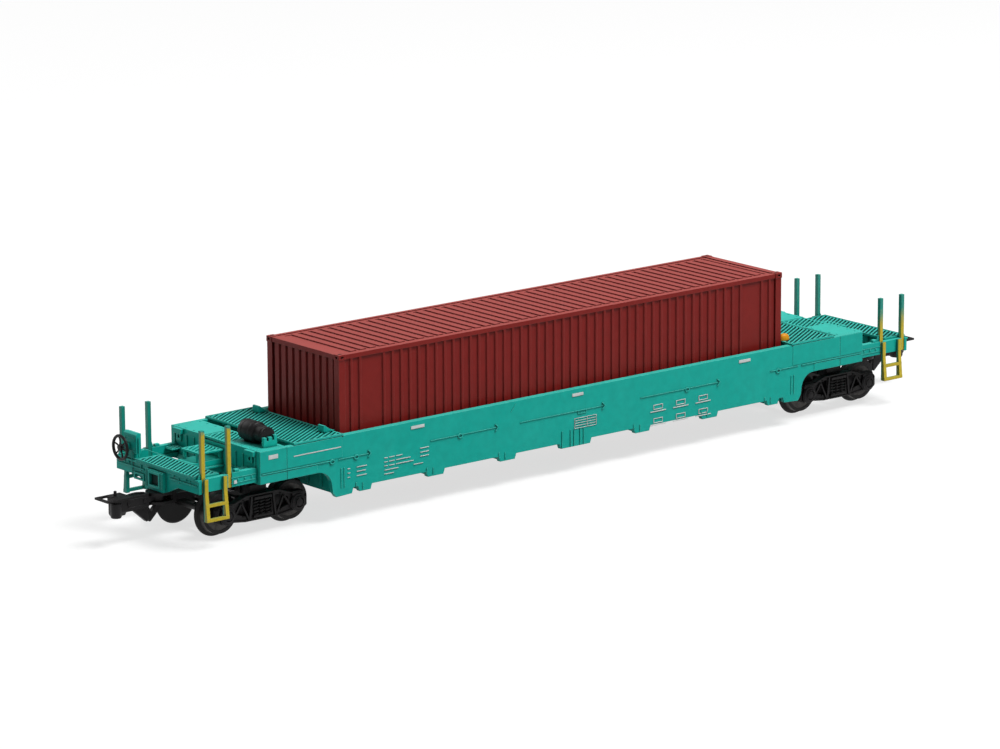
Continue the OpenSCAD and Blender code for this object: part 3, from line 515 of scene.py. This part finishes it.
# white plates and plain rules
printing = {"plates": ((-50.9, 19.0, 4.0, 0.72), (-1.1, 19.0, 3.5, 0.72), (53.2, 19.0, 3.8, 0.72),
                       (-92.9, 18.6, 2.7, 1.0)),
            "out": 0.13, "sink": 0.02, "ruleWidth": 0.16, "longRule": (-85.6, -71.8, 18.1, 0.24),
            "beamPlate": (-102.2, 14.25, 0.8, 0.75), "shortDashes": (3.0, 2.6, 2.9), "shortPitch": 1.05,
            "dashPitch": 0.98, "dashGap": 0.45,
            "dashRows": ((1.0, 1.6, 1.9), (1.0, 1.6, 4.3), (1.0, 1.6, 5.2), (4.2,), (2.8,)),
            "table": (-0.4, 6.6, 13.4), "tablePitch": 0.62, "tableColumns": (-0.4, 3.6, 6.5),
            "frames": (24.6, 12.2, 7.4, 3.4)}


def printedPieces(t):    # every mark is a thin raised strip on the outer face at -Y
    shells, f, w = [], sillFace, t["ruleWidth"]
    front, back = -f - t["out"], -f + t["sink"]

    def rule(x0, x1, z, height=w):
        shells.append(carry(rect(x0, z, x1, z + height), front, back, "y"))

    for x, z, length, height in t["plates"]:
        rule(x, x + length, z, height)
    x, z, length, height = t["beamPlate"]    # small plate on the side beam, which stands further in
    shells.append(block(x, -f + 0.78, z, x + length, -f + 1.1, z + height))
    rule(*t["longRule"])
    for i, length in enumerate(t["shortDashes"]):    # plain dashes in place of the data lines
        rule(-67.2, -67.2 + length, 12.5 - i * t["shortPitch"])
        rule(-69.9, -69.2, 12.5 - i * t["shortPitch"])
    for i, dashes in enumerate(t["dashRows"]):
        x = -59.0
        for length in dashes:
            rule(x, x + length, 13.3 - i * t["dashPitch"])
            x += length + t["dashGap"]
    for i in range(3):
        rule(-48.2, -45.6, 13.9 - i * t["dashPitch"])
    rule(-50.2, -47.4, 10.3)
    x0, x1, z0 = t["table"]
    rows = 4
    for i in range(rows + 1):    # ruled table
        rule(x0, x1, z0 - i * t["tablePitch"], 0.1)
    for x in t["tableColumns"]:
        rule(x, x + 0.1, z0 - rows * t["tablePitch"], rows * t["tablePitch"])
    firstX, firstZ, pitchX, pitchZ = t["frames"]
    for column in range(3):    # blank outlines in two rows
        for row in range(2):
            x, z = firstX + column * pitchX, firstZ - row * pitchZ
            rule(x - 0.6, x + 4.4, z - 1.2, 0.22)
            outer = rect(x + 0.4, z - 0.6, x + 3.4, z + 0.6)
            inner = rect(x + 0.55, z - 0.45, x + 3.25, z + 0.45)
            shells.append(hollow(outer, inner, front, back, "y"))
    return shells


marks = printedPieces(printing)
addPiece("blank_marks_front", marks, "wagon", "wagon_green", look="printWhite")
addPiece("blank_marks_back", halfTurn(marks), "wagon", "wagon_green", look="printWhite")
print("blank marks made")

# bolster ends, decks and end platforms
deck = {"lugX": 0.9, "lugY": (12.4, 15.9), "lugZ": (19.5, 20.7), "plateY": 13.9, "plateZ": 18.7,
        "plateHalf": 0.95, "hole": 0.42, "webRibs": (5.4, 8.2, 11.0, 15.7), "webRibZ": (13.3, 19.4),
        "webRails": (14.2, 15.6), "stepY": (12.2, 14.9), "stepZ": (16.1, 16.4), "stepRibs": 4, "stepPitch": 0.8,
        "brackets": (12.4, 14.4), "screws": (6.2, 9.4, 12.6, 15.4)}


def deckPieces(t):    # end web of the bolster box at +X, its +Y half
    e, back, shells = sillEnd, sillEnd - 0.1, []
    shells.append(block(back, t["lugY"][0], t["lugZ"][0], e + t["lugX"], t["lugY"][1], t["lugZ"][1]))
    square = ringSquare(t["plateY"], t["plateZ"], t["plateHalf"])
    shells.append(hollow(square, ellipse(t["plateY"], t["plateZ"], t["hole"], t["hole"]), back, e + 0.45, "x"))
    low, high = t["webRibZ"]
    for y in t["webRibs"]:    # upright ribs on the end web
        shells.append(carry(rect(y - 0.16, low, y + 0.16, high), back, e + 0.32, "x"))
    for z in t["webRails"]:
        shells.append(block(back, 5.2, z - 0.12, e + 0.3, 15.9, z + 0.12))
    (y0, y1), (z0, z1) = t["stepY"], t["stepZ"]
    shells.append(block(e + 0.6, y0, z0, e + 3.6, y1, z1))    # side step with its ribs
    for i in range(t["stepRibs"]):
        shells.append(block(e + 0.8 + i * t["stepPitch"], y0, 16.38, e + 1.0 + i * t["stepPitch"], y1, 16.62))
    for y in t["brackets"]:
        shells.append(block(e + 0.05, y, 15.2, e + 0.7, y + 0.3, z1))
    for x in (bolsterLow[0] + 0.9, bolsterHigh[0] - 0.9):    # screw heads along the plate over the bolster
        for y in t["screws"]:
            head = turned(((0.3, 0), (0.28, 0.1), (0.14, 0.17)), (x, y), "z", 12)
            shells.append(moved(head, shift=(0, 0, sillTop - 0.02)))
    return shells


def ringSquare(a, b, h, steps=24):    # a square outline with as many points as a round hole
    t = np.linspace(0, 2 * pi, steps, endpoint=False)
    c, s = np.cos(t), np.sin(t)
    k = h / np.maximum(np.abs(c), np.abs(s))
    return np.stack((a + k * c, b + k * s), 1)


striker = {"out": 0.2, "low": 11.9, "high": 15.75, "outer": 2.35, "inner": (1.75, 12.45, 15.15),
           "ribs": (-3.1, -2.75, 2.75, 3.1), "labels": (-6.4, 8.4), "pocket": (1.76, 12.42, 15.18)}


def strikerPieces(t):    # frame round the coupler pocket with its ribs, two raised labels and a slotted bracket
    hx, low, high, shells = headFace, t["low"], t["high"], []
    y, z0, z1 = t["inner"]
    shells.append(hollow(rect(-t["outer"], low, t["outer"], high), rect(-y, z0, y, z1), hx - 0.05,
                         hx + t["out"], "x"))
    for y in t["ribs"]:
        shells.append(block(hx - 0.05, y - 0.1, low, hx + t["out"], y + 0.1, high))
    for y in t["labels"]:
        shells.append(block(hx - 1.1, y - 0.2, 14.5, hx - 0.8, y + 0.2, 15.6))
    shells.append(hollow(rect(-8.9, 12.3, -4.9, 14.0), rect(-8.4, 12.75, -5.4, 13.55), hx - 1.05, hx - 0.55,
                         "x"))
    return shells


strikers = strikerPieces(striker)
addPiece("striker_fittings", strikers + halfTurn(strikers), "wagon", "wagon_green", bevel=0.04)
pocketY, pocketLow, pocketHigh = striker["pocket"]
# dark plate at the back of each coupler pocket: painted shade
pocket = [block(headFace - 0.75, -pocketY, pocketLow, headFace - 0.62, pocketY, pocketHigh)]
addPiece("striker_pocket_shade", pocket + halfTurn(pocket), "wagon", "wagon_green", look="paintedShadeGreen")
addPiece("bolster_fittings", fourWays(deckPieces(deck)), "wagon", "wagon_green", bevel=0.05)

platform = {"bead": 0.14, "knobs": (6.4, 11.2), "beamIn": 1.0, "beamBolts": (1.6, 3.6, 5.6),
            "bearers": (4, 10.5)}


def platformPieces(t):    # fittings of the end platform at +X, its +Y half
    shells = []
    x0, x1, e0 = postLow[0], postHigh[0], sillEnd
    y = postHigh[1] - 0.5
    top = gratingHigh[2]
    # gussets at the feet of the posts
    for x, way, rise in ((x0 + 0.5, -1, 2.2), (x1 - 0.5, 1, 1.8)):
        foot = np.array(((0.4, 0), (0.4, rise), (0.7, rise), (1.55, 0))) * (way, 1) + (x, top - 0.9)
        shells.append(carry(foot, y - 0.2, y + 0.2, "y"))
    # beads round the end grating
    gx0, gx1, gy = gratingLow[0], gratingHigh[0], gratingHigh[1]
    shells.append(block(gx0, gy - 0.5, top - 0.02, gx1, gy - 0.34, top + t["bead"]))
    shells.append(block(gx1 - 0.2, 0, top - 0.02, gx1 - 0.04, gy - 0.34, top + t["bead"]))
    shells.append(block(gx0 + 0.04, 0, top - 0.02, gx0 + 0.2, gy - 0.34, top + t["bead"]))
    # rail, two knobs and a small plate on the headstock's face
    hx = headFace - 1.0
    shells.append(block(hx, 5.0, 14.9, hx + 0.35, 15.6, 15.2))
    for knobY in t["knobs"]:
        shells.append(moved(turned(((0.36, 0), (0.36, 0.2), (0.2, 0.34)), (knobY, 15.9), "x", 14),
                            shift=(hx, 0, 0)))
    shells.append(block(hx, 12.6, 15.4, hx + 0.12, 13.0, 16.4))
    # two ledges, bolts and a hook plate on the side beam
    beamFace = sillFace - t["beamIn"]
    shells.append(block(e0 + 0.6, beamFace - 0.1, 14.35, x0 + 0.2, beamFace + 0.14, 14.55))
    shells.append(block(e0 + 0.6, beamFace - 0.1, 15.6, x0 + 0.2, beamFace + 0.12, 15.75))
    for boltX in t["beamBolts"]:
        bolt = ((0.26, beamFace - 0.1), (0.24, beamFace + 0.16), (0.12, beamFace + 0.22))
        shells.append(turned(bolt, (e0 + boltX, 15.15), "y", 12))
    shells.append(block(e0 + 5.0, beamFace - 1.2, 16.8, e0 + 6.2, beamFace - 0.2, 17.5))
    # walkway rims
    wx0, wx1, wy, wz = walkLow[0], walkHigh[0], walkHigh[1], walkHigh[2]
    shells.append(block(wx0, wy - 0.3, wz - 0.02, wx1, wy - 0.12, wz + 0.12))
    shells.append(block(wx1 - 0.3, 0, wz - 0.02, wx1 - 0.12, wy - 0.3, wz + 0.12))
    for bearerY in t["bearers"]:    # under the walkway
        shells.append(block(wx0 + 1.9, bearerY, wz - 0.9, wx1 - 0.3, bearerY + 0.5, wz - 0.38))
    return shells


shadeTrays, shadowGaps = [], []    # dark sheet under each grating, painted shade between the slats, and the dark line between walkway and sill, a painted shadow
for node in ("end_grating_left", "end_grating_right", "upper_walkway_left", "upper_walkway_right"):
    low, high = cad(node)
    rim = 0.25
    shadeTrays.append(block(low[0] + rim, low[1] + rim, low[2] - 0.08, high[0] - rim, high[1] - rim, low[2] + 0.06))
    if "walkway" in node:
        # dark strip under each side of the walkway: painted shadow of the gap between walkway and sill
        for s in (-1, 1):
            y0, y1 = span(s, sillFace - 0.2, sillFace + 0.03)
            shadowGaps.append(block(low[0], y0, low[2] - 0.34, high[0], y1, low[2] + 0.02))
addPiece("grating_shade_trays", shadeTrays, "wagon", "wagon_green", look="paintedShadeGreen")
addPiece("walkway_shadow_gaps", shadowGaps, "wagon", "wagon_green", look="darkGap")
addPiece("platform_fittings", fourWays(platformPieces(platform)), "wagon", "wagon_green", bevel=0.04)
print("deck fittings made")

# air reservoir
reservoirLow, reservoirHigh = cad("air_reservoir")
reservoir = {"radius": 2.5, "neck": 1.95, "dish": 0.7, "length": 6.0, "plug": 0.6, "bands": (-6.6, -9.6),
             "bolts": 8, "steps": 48}


def reservoirPieces(t):    # tank with dished ends, a ringed neck, two bands with saddles and a ring of bolts
    x = (reservoirLow[0] + reservoirHigh[0]) / 2
    z = reservoirHigh[2] - t["radius"]
    y0, y1 = reservoirHigh[1] - t["plug"], reservoirLow[1]
    shoulder = y0 - t["length"]
    r, d = t["radius"], t["dish"]
    bend = np.linspace(0, pi / 2, 7)
    nearCap = np.stack((r * np.sin(bend[1:]), y0 - d * (1 - np.cos(bend[1:]))), 1)
    farCap = np.stack((r * np.cos(bend[:5]), shoulder + d - d * np.sin(bend[:5])), 1)
    body = np.concatenate((nearCap, farCap))
    shells = [turned(body, (x, z), "y", t["steps"])]
    shells.append(turned(((0.7, y0 + t["plug"]), (0.75, y0 + 0.1), (0.75, y0 - 0.2)), (x, z), "y", 20))
    neck = t["neck"]
    rings = ((neck, shoulder + 0.4), (neck, y1 + 1.2), (neck - 0.15, y1 + 1.1), (neck - 0.15, y1 + 0.5),
             (neck, y1 + 0.4), (neck, y1 + 0.1), (neck - 0.3, y1))
    shells.append(turned(rings, (x, z), "y", 32))
    for b in t["bands"]:
        band = ((r - 0.1, b - 0.25), (r + 0.03, b - 0.25), (r + 0.03, b + 0.25), (r - 0.1, b + 0.25))
        shells.append(turned(band, (x, z), "y", t["steps"]))
        shells.append(block(x - 1.2, b - 0.3, sillTop + 0.05, x + 1.2, b + 0.3, z - 1.6))
    ring = neck - 0.35
    for a in np.linspace(0, 2 * pi, t["bolts"], endpoint=False):
        bolt = turned(((0.13, 0), (0.13, 0.22)), (x + ring * cos(a), z + ring * sin(a)), "y", 8)
        shells.append(moved(bolt, shift=(0, y1 - 0.02, 0)))
    return shells


addPiece("reservoir_tank", reservoirPieces(reservoir), "wagon", "moulded_black", bevel=0.03, smooth=35,
         replaces=("air_reservoir",))

# hand brake
handWheelLow, handWheelHigh = cad("brake_wheel")
standLow, standHigh = cad("brake_stand")
handBrake = {"spokes": 6, "rim": 0.36, "hub": 0.8, "spoke": 0.2, "firstSpoke": 0.3, "rails": (18.6, 21.6),
             "rod": (17.2, 22.0), "chain": (13.2, 18.6), "boltY": (-2.4, 1.3), "boltZ": (19.2, 21.3)}


def brakeWheelPieces(t):    # round rim, hub and spokes bowed outwards by half a sine wave
    y, z = (handWheelLow[1] + handWheelHigh[1]) / 2, (handWheelLow[2] + handWheelHigh[2]) / 2
    radius = (handWheelHigh[1] - handWheelLow[1]) / 2
    x0, x1 = handWheelLow[0], handWheelHigh[0]
    rim = radius - t["rim"]
    shells = [hoop((y, z, (x0 + x1) / 2), rim, t["rim"], "x")]
    shells.append(turned(((0.5, x0 + 0.1), (t["hub"], x0 + 0.2), (t["hub"], x1 - 0.1), (0.5, x1)), (y, z), "x",
                         20))
    for a in np.arange(t["spokes"]) * 2 * pi / t["spokes"] + t["firstSpoke"]:
        s = np.linspace(t["hub"] - 0.15, rim, 8)
        dish = 0.22 * np.sin(pi * (s - s[0]) / (s[-1] - s[0]))
        path = np.stack(((x0 + x1) / 2 + dish, y + s * cos(a), z + s * sin(a)), 1)
        shells.append(tube(path, t["spoke"], up=(1, 0, 0), steps=8))
    return shells


addPiece("hand_wheel", brakeWheelPieces(handBrake), "wagon", "moulded_black", smooth=40,
         replaces=("brake_wheel",))
brakeY = (handWheelLow[1] + handWheelHigh[1]) / 2
standFace = standLow[0] + 1.1


def brakeGear(t):    # two rails, a rod, a chain pipe and four bolts on the stand
    y0, y1, x = standLow[1], standHigh[1], standFace
    shells = [block(x - 0.12, y0 + 0.4, z, x + 0.1, y1 - 0.4, z + 0.25) for z in t["rails"]]
    shells.append(tube([(x + 0.6, y0 - 0.25, z) for z in np.linspace(*t["rod"], 8)], 0.16, up=(1, 0, 0)))
    shells.append(tube([(x - 0.25, brakeY - 1.6, z) for z in np.linspace(*t["chain"], 8)], 0.14, up=(1, 0, 0)))
    for y in t["boltY"]:
        for z in t["boltZ"]:
            shells.append(moved(turned(((0.24, 0), (0.24, 0.14)), (brakeY + y, z), "x", 6),
                                shift=(x - 0.14, 0, 0)))
    return shells


addPiece("hand_brake_fittings", brakeGear(handBrake), "wagon", "wagon_green", bevel=0.03)
print("reservoir and hand brake made")

# orange guide
guideLow, guideHigh = cad("marked_guide")


def domePiece(steps=28, rows=10):    # a full dome: x and y spread by cos(v) to the power 0.7, height by sin(v)
    c = (guideLow + guideHigh) / 2
    r = (guideHigh - guideLow) / 2
    u = np.linspace(0, 2 * pi, steps, endpoint=False)[None, :]
    v = np.linspace(0, pi / 2 * 0.97, rows)[:, None]
    spread = np.cos(v) ** 0.7
    x = c[0] + r[0] * spread * np.cos(u)
    y = c[1] + r[1] * spread * np.sin(u)
    z = guideLow[2] + 2 * r[2] * np.sin(v) + 0 * u
    return np.stack((x, y, z), -1).reshape(-1, 3), capped(rows, steps)


addPiece("orange_guide", [domePiece()], "wagon", "guide_orange", smooth=60, replaces=("marked_guide",))

# container
roof = {"ribs": 45, "pitch": 2.91, "first": -64.05, "ribW": 1.62, "slope": 0.07, "ribH": 0.30, "reach": 11.5,
        "base": 0.6, "seam": 2.9, "rimY": 12.2}
roofLow, roofHigh = cad("container_roof")


def roofPieces(t):    # flat sheet with a row of low steep ribs, a rim along each side and a seam at each end
    top = roofHigh[2]
    shells = [block(roofLow[0], roofLow[1], top - t["ribH"] - t["base"], roofHigh[0], roofHigh[1],
                    top - t["ribH"])]
    for k in range(t["ribs"]):
        x = t["first"] + k * t["pitch"]
        foot = -0.05 - t["ribH"]
        rib = np.array(((-t["slope"], foot), (t["ribW"] + t["slope"], foot), (t["ribW"], 0), (0, 0))) + (x, top)
        shells.append(carry(rib, -t["reach"], t["reach"], "y"))
    for s in (-1, 1):
        x = boxMiddle + s * (boxReach - t["seam"])
        shells.append(block(x - 0.55, -t["reach"] - 0.4, top - 0.5, x + 0.55, t["reach"] + 0.4, top - 0.12))
        shells.append(block(roofLow[0], s * t["rimY"] - 0.5, top - 0.5, roofHigh[0], s * t["rimY"] + 0.5,
                            top - 0.14))
    return shells


addPiece("roof_sheet", roofPieces(roof), "container", "container_red", replaces=("container_roof",))


doorLow, doorHigh = cad("container_doors")
doors = {"bars": (0.30, 0.66), "ends": 0.7, "inward": 8, "handleZ": 9.6, "handleStep": 0.6, "handleL": 2.6,
         "hinges": 5, "hingeEnd": 2.6}


def doorGear(t):    # bar brackets, handles and hinges of the two doors at the +X end
    x, z0, z1, half, shells = doorHigh[0] - 0.25, doorLow[2], doorHigh[2], doorHigh[1], []
    for s in (-1, 1):
        for k, y in enumerate([half * share for share in t["bars"]]):
            for z in (z0 + t["ends"], z0 + t["inward"], z1 - t["inward"], z1 - t["ends"]):
                shells.append(block(x - 0.2, s * y - 0.55, z - 0.3, x + 0.42, s * y + 0.55, z + 0.3))
            z = z0 + t["handleZ"] + k * t["handleStep"]
            y0, y1 = span(s, y - 0.1, y + t["handleL"])
            shells.append(carry(rect(y0, z - 0.16, y1, z + 0.16), x + 0.2, x + 0.45, "x"))
        y0, y1 = span(s, half - 0.75, half)
        for z in np.linspace(z0 + t["hingeEnd"], z1 - t["hingeEnd"], t["hinges"]):
            shells.append(block(x - 0.1, y0, z - 0.45, x + 0.38, y1, z + 0.45))
    return shells


addPiece("door_gear", doorGear(doors), "container", "container_red", bevel=0.04)
seals = [block(doorHigh[0] - 0.9, -0.12, doorLow[2], doorHigh[0] - 0.28, 0.12, doorHigh[2])]
addPiece("door_seal", seals, "container", "container_red", look="darkGap")
print("container details made")

# bogies
bogie = {"face": 12.55, "flange": 0.34, "flangeOut": 0.35, "capBolts": 3, "capBoltR": 1.12,
         "springX": (-1.7, 0, 1.7), "springR": 0.86, "wire": 0.2, "turns": 5, "springZ": (4.55, 8.35),
         "boltX": (-5.4, 5.4), "boltZ": (4.7, 8.6)}
brakes = {"beamZ": 4.6, "beamR": 0.38, "beamHalf": 9.6, "blockY": (-8.7, 8.7), "clear": 0.3, "thick": 0.75,
          "bend": 0.42, "ribs": (-7.5, -4.6, 4.6, 7.5)}


def bogieSide(t):    # one side at +Y of the bogie at +X, about its own middle
    a, f, out, w = axleHalf, t["face"], t["flangeOut"], t["flange"]
    shells = []

    def rib(points, width=w, extra=out):
        for p, q in zip(points[:-1], points[1:]):
            shells.append(carry(strip(*p, *q, width), f - 0.1, f + extra, "y"))

    overAxle = axleZ + 2.5
    half = [(a * 0.46, 9.42), (a * 0.8, overAxle), (a + 1.4, overAxle)]
    rib([(-x, z) for x, z in half[::-1]] + half)
    rib([(-a + 1.7, axleZ - 1.7), (-a * 0.5, 3.6), (a * 0.5, 3.6), (a - 1.7, axleZ - 1.7)])
    for s in (-1, 1):
        rib([(s * a * 0.37, 3.7), (s * a * 0.3, 9.3)], 0.5)                      # columns beside the springs
        rib([(s * 4.0, 3.9), (s * 6.1, 8.1), (s * 8.4, axleZ - 1.0)], 0.42)      # V arms
        rib([(s * (a + 2.5), axleZ - 1.0), (s * (a + 2.5), axleZ + 1.4)], 0.3, 0.2)
        cap = (s * a, axleZ)
        axleCap = ((2.15, f + 0.2), (2.15, f + 0.55), (1.95, f + 0.62), (1.6, f + 0.85), (0.55, f + 1.13))
        shells.append(turned(axleCap, cap, "y", 32))
        shells.append(hollow(ellipse(*cap, 1.35, 1.35), ellipse(*cap, 0.95, 0.95), f + 0.6, f + 1.1, "y"))
        for k in range(t["capBolts"]):
            angle, r = radians(90 + 120 * k), t["capBoltR"]
            spot = (cap[0] + r * cos(angle), cap[1] + r * sin(angle))
            shells.append(turned(((0.24, f + 0.6), (0.24, f + 1.12)), spot, "y", 6))
        # bearing saddle, and webs closing the windows of the side frame
        shells.append(block(s * a - 1.7, f - 1.2, axleZ + 1.7, s * a + 1.7, f + 0.5, axleZ + 2.4))
        web = np.array(((-a * 0.95, 7.6), (-3.2, 3.9), (-3.2, 8.9), (-a * 0.6, 8.9))) * (s, 1)
        shells.append(carry(web, f - 1.5, f - 1.15, "y"))
        web = ((a * 0.30, 3.9), (a * 0.9, axleZ - 0.6), (a * 0.9, 8.0), (a * 0.45, 8.9), (a * 0.30, 8.9))
        web = np.array(web) * (s, 1)
        shells.append(carry(web, f - 1.45, f - 1.2, "y"))
    shells.append(block(-2.5, f - 1.4, 8.3, 2.5, f + 0.55, 8.95))    # spring seats
    shells.append(block(-2.7, f - 1.4, 4.05, 2.7, f + 0.5, 4.6))
    for x in t["springX"]:
        shells.append(coil((x, f - 0.55), t["springR"], t["wire"], *t["springZ"], t["turns"]))
    for x in t["boltX"]:
        for z in t["boltZ"]:
            shells.append(turned(((0.22, f - 0.05), (0.22, f + 0.22), (0.12, f + 0.3)), (x, z), "y", 10))
    return shells


# brake beams, curved blocks and their hangers between the wheels, and ribs on the bolster
def bogieMiddle(t):
    shells = []
    beamX = axleHalf - treadR - 1.25
    for s in (-1, 1):
        path = [(s * beamX, y, t["beamZ"]) for y in np.linspace(-t["beamHalf"], t["beamHalf"], 12)]
        shells.append(tube(path, t["beamR"], steps=10))
        for y in t["blockY"]:    # each block is the band between two arcs about a point just under the axle
            r0 = treadR + t["clear"]
            r1 = r0 + t["thick"]
            bend = np.linspace(-t["bend"], t["bend"], 9)
            inner = np.stack((s * axleHalf - s * r0 * np.cos(bend), axleZ - 0.4 + r0 * np.sin(bend)), 1)
            outer = np.stack((s * axleHalf - s * r1 * np.cos(bend), axleZ - 0.4 + r1 * np.sin(bend)), 1)[::-1]
            shells.append(carry(np.concatenate((inner, outer)), y - 1.0, y + 1.0, "y"))
            x0, x1 = span(s, beamX, beamX + 0.2)
            shells.append(block(x0 - 0.3, y - 0.5, 4.3, x1 + 0.3, y + 0.5, 8.9))
    for y in t["ribs"]:
        shells.append(block(-2.75, y - 0.25, 8.95, 2.75, y + 0.25, 10.9))
    return shells


for end, name in ((-1, "left"), (1, "right")):
    side = bogieSide(bogie)
    shells = side + [moved(s, (1, -1, 1)) for s in side] + bogieMiddle(brakes)
    shells = [moved(s, (end, 1, 1), (end * bogieX, 0, 0)) for s in shells]
    addPiece("bogie_fittings_" + name, shells, "bogie_" + name, "moulded_black", smooth=35)
print("bogie fittings made")

# couplers
coupler = {"headBack": 4.5, "knuckle": 1.75, "cheekY": 1.02, "cheekFrom": -8.2, "cheekTo": -1.2,
           "rivets": (-6.9, -2.4), "springFrom": -7.6, "springL": 6.0, "springRise": 0.35, "springWire": 0.22}


def couplerPieces(t):    # rounded head, cheeks, rivets and a leaf spring bowed by half a sine wave on the arm
    head = cad("coupler_right")[1][0] - t["headBack"]
    big, y, x0, x1 = t["knuckle"], t["cheekY"], t["cheekFrom"], t["cheekTo"]
    shells = [turned(((0.9, 6.95), (1.5, 7.05), (big, 7.5), (big, 10.3), (1.5, 10.75)), (head, -0.55), "z", 28),
              turned(((0.7, 6.9), (1.15, 7.0), (1.3, 7.3), (1.3, 10.4)), (head + 1.2, 1.15), "z", 24)]
    lower = np.array(((x0, 8.2), (x1, 8.0), (x1, 8.7), (x0, 8.9))) + (head, 0)
    upper = np.array(((x0, 10.2), (x1, 10.2), (x1, 10.6), (x0, 10.6))) + (head, 0)
    for s in (-1, 1):
        shells.append(carry(lower, s * y - 0.18, s * y + 0.18, "y"))
        shells.append(carry(upper, s * y - 0.16, s * y + 0.16, "y"))
        for rivetX in t["rivets"]:
            shells.append(turned(((0.42, s * 1.0), (0.42, s * 1.28), (0.25, s * 1.36)), (head + rivetX, 9.6),
                                 "y", 14))
    shells.append(turned(((0.75, 11.1), (0.75, 11.75), (0.5, 11.85)), (head + 0.75, 0), "z", 18))
    u = np.linspace(0, t["springL"], 12)
    bow = 11.25 + t["springRise"] * np.sin(u / t["springL"] * pi)
    shells.append(tube(np.stack((head + t["springFrom"] + u, 0 * u, bow), 1), t["springWire"], steps=8))
    return shells


for end, name in ((-1, "left"), (1, "right")):
    shells = [moved(s, (end, end, 1)) for s in couplerPieces(coupler)]
    addPiece("coupler_fittings_" + name, shells, "coupler_" + name, "moulded_black", bevel=0.05, smooth=40)
print("couplers made")

# wheels
wheel = {"treadY": (8.45, 9.95), "proud": 0.02, "taper": 0.06, "deep": 0.4, "faceY": 9.55,
         "rings": ((3.55, 0.24), (2.7, 0.18)), "studs": 6, "studAt": 2.1}


# running band, and rings and studs on the wheel's outer face, all turned about the axle
def treadPieces(t, x):
    r, tread, rings = treadR, [], []
    for s in (-1, 1):
        y0, y1 = s * t["treadY"][0], s * t["treadY"][1]
        band = ((r - t["deep"], y0), (r + t["proud"], y0), (r - t["taper"], y1), (r - t["deep"], y1))
        tread.append(turned(band, (x, axleZ), "y", 64))
        face = s * t["faceY"]
        for radius, wide in t["rings"]:
            outer, inner = (ellipse(x, axleZ, q, q, 48) for q in (radius, radius - wide))
            rings.append(hollow(outer, inner, *span(s, t["faceY"] - 0.6, t["faceY"] + 0.1), "y"))
        for angle in np.arange(t["studs"]) * 2 * pi / t["studs"]:
            spot = (x + t["studAt"] * cos(angle), axleZ + t["studAt"] * sin(angle))
            rings.append(turned(((0.3, face - s * 0.8), (0.3, face - s * 0.05)), spot, "y", 12))
    return tread, rings


for number, x in ((1, -outerAxle), (2, -innerAxle), (3, innerAxle), (4, outerAxle)):
    tread, rings = treadPieces(wheel, x)
    addPiece(f"tread_{number}", tread, f"wheelset_{number}", "wheel_black", look="treadSteel", smooth=30)
    addPiece(f"wheel_rings_{number}", rings, f"wheelset_{number}", "wheel_black", smooth=30)
print("wheels made")

# floor and light
studio = {"floor": 0.36, "glow": 0.68, "bounce": 0.28, "sky": 0.22, "floorHalf": 8,    # floor size in metres
          "key": ((400, -560, 1300), 600, 19.5), "rear": ((-150, 1400, 650), 900, 5.0),    # place, size, power
          "fill": ((-1300, -900, 700), 700, 0.5)}


def makeFloor(t):    # what the camera and reflections see of it is near white; for other rays it is grey
    mesh, h = bpy.data.meshes.new("floor"), t["floorHalf"]
    mesh.from_pydata([(-h, -h, 0), (h, -h, 0), (h, h, 0), (-h, h, 0)], [], [(0, 1, 2, 3)])
    floor = bpy.data.objects.new("floor", mesh)
    bpy.context.scene.collection.objects.link(floor)
    n = Nodes("floorWhite")
    ray = n.add("ShaderNodeLightPath").outputs
    seen = n.math("MAXIMUM", ray["Is Camera Ray"], ray["Is Glossy Ray"])
    n.give(Base_Color=n.mix(seen, rgba(*[t["bounce"]] * 3), rgba(*[t["floor"]] * 3)), Roughness=0.9,
           Emission_Color=rgba(1, 1, 1), Emission_Strength=n.math("MULTIPLY", seen, t["glow"]))
    n.shader.inputs["Specular IOR Level"].default_value = 0.1
    mesh.materials.append(n.material)


def softBox(name, spot, size, power):    # a square lamp that faces the middle of the scene
    lamp = bpy.data.lights.new(name, "AREA")
    lamp.shape, lamp.size, lamp.energy = "SQUARE", size * mm, power
    box = bpy.data.objects.new(name, lamp)
    spot = np.array(spot) * mm
    back = spot / np.linalg.norm(spot)
    right = np.cross((0, 0, 1), back)
    right /= np.linalg.norm(right)
    turn = np.eye(4)
    turn[:3, 0], turn[:3, 1], turn[:3, 2], turn[:3, 3] = right, np.cross(back, right), back, spot
    box.matrix_world = Matrix(turn.tolist())
    bpy.context.scene.collection.objects.link(box)


makeFloor(studio)
for lamp in ("key", "rear", "fill"):
    softBox(lamp, *studio[lamp])
sky = bpy.data.worlds.new("sky")
bpy.context.scene.world = sky
sky.use_nodes = True
sky.node_tree.nodes["Background"].inputs[0].default_value = (1, 1, 1, 1)
sky.node_tree.nodes["Background"].inputs[1].default_value = studio["sky"]
bpy.context.scene.view_settings.view_transform = "Standard"
print("floor and lights made,", len(pieces), "pieces added")
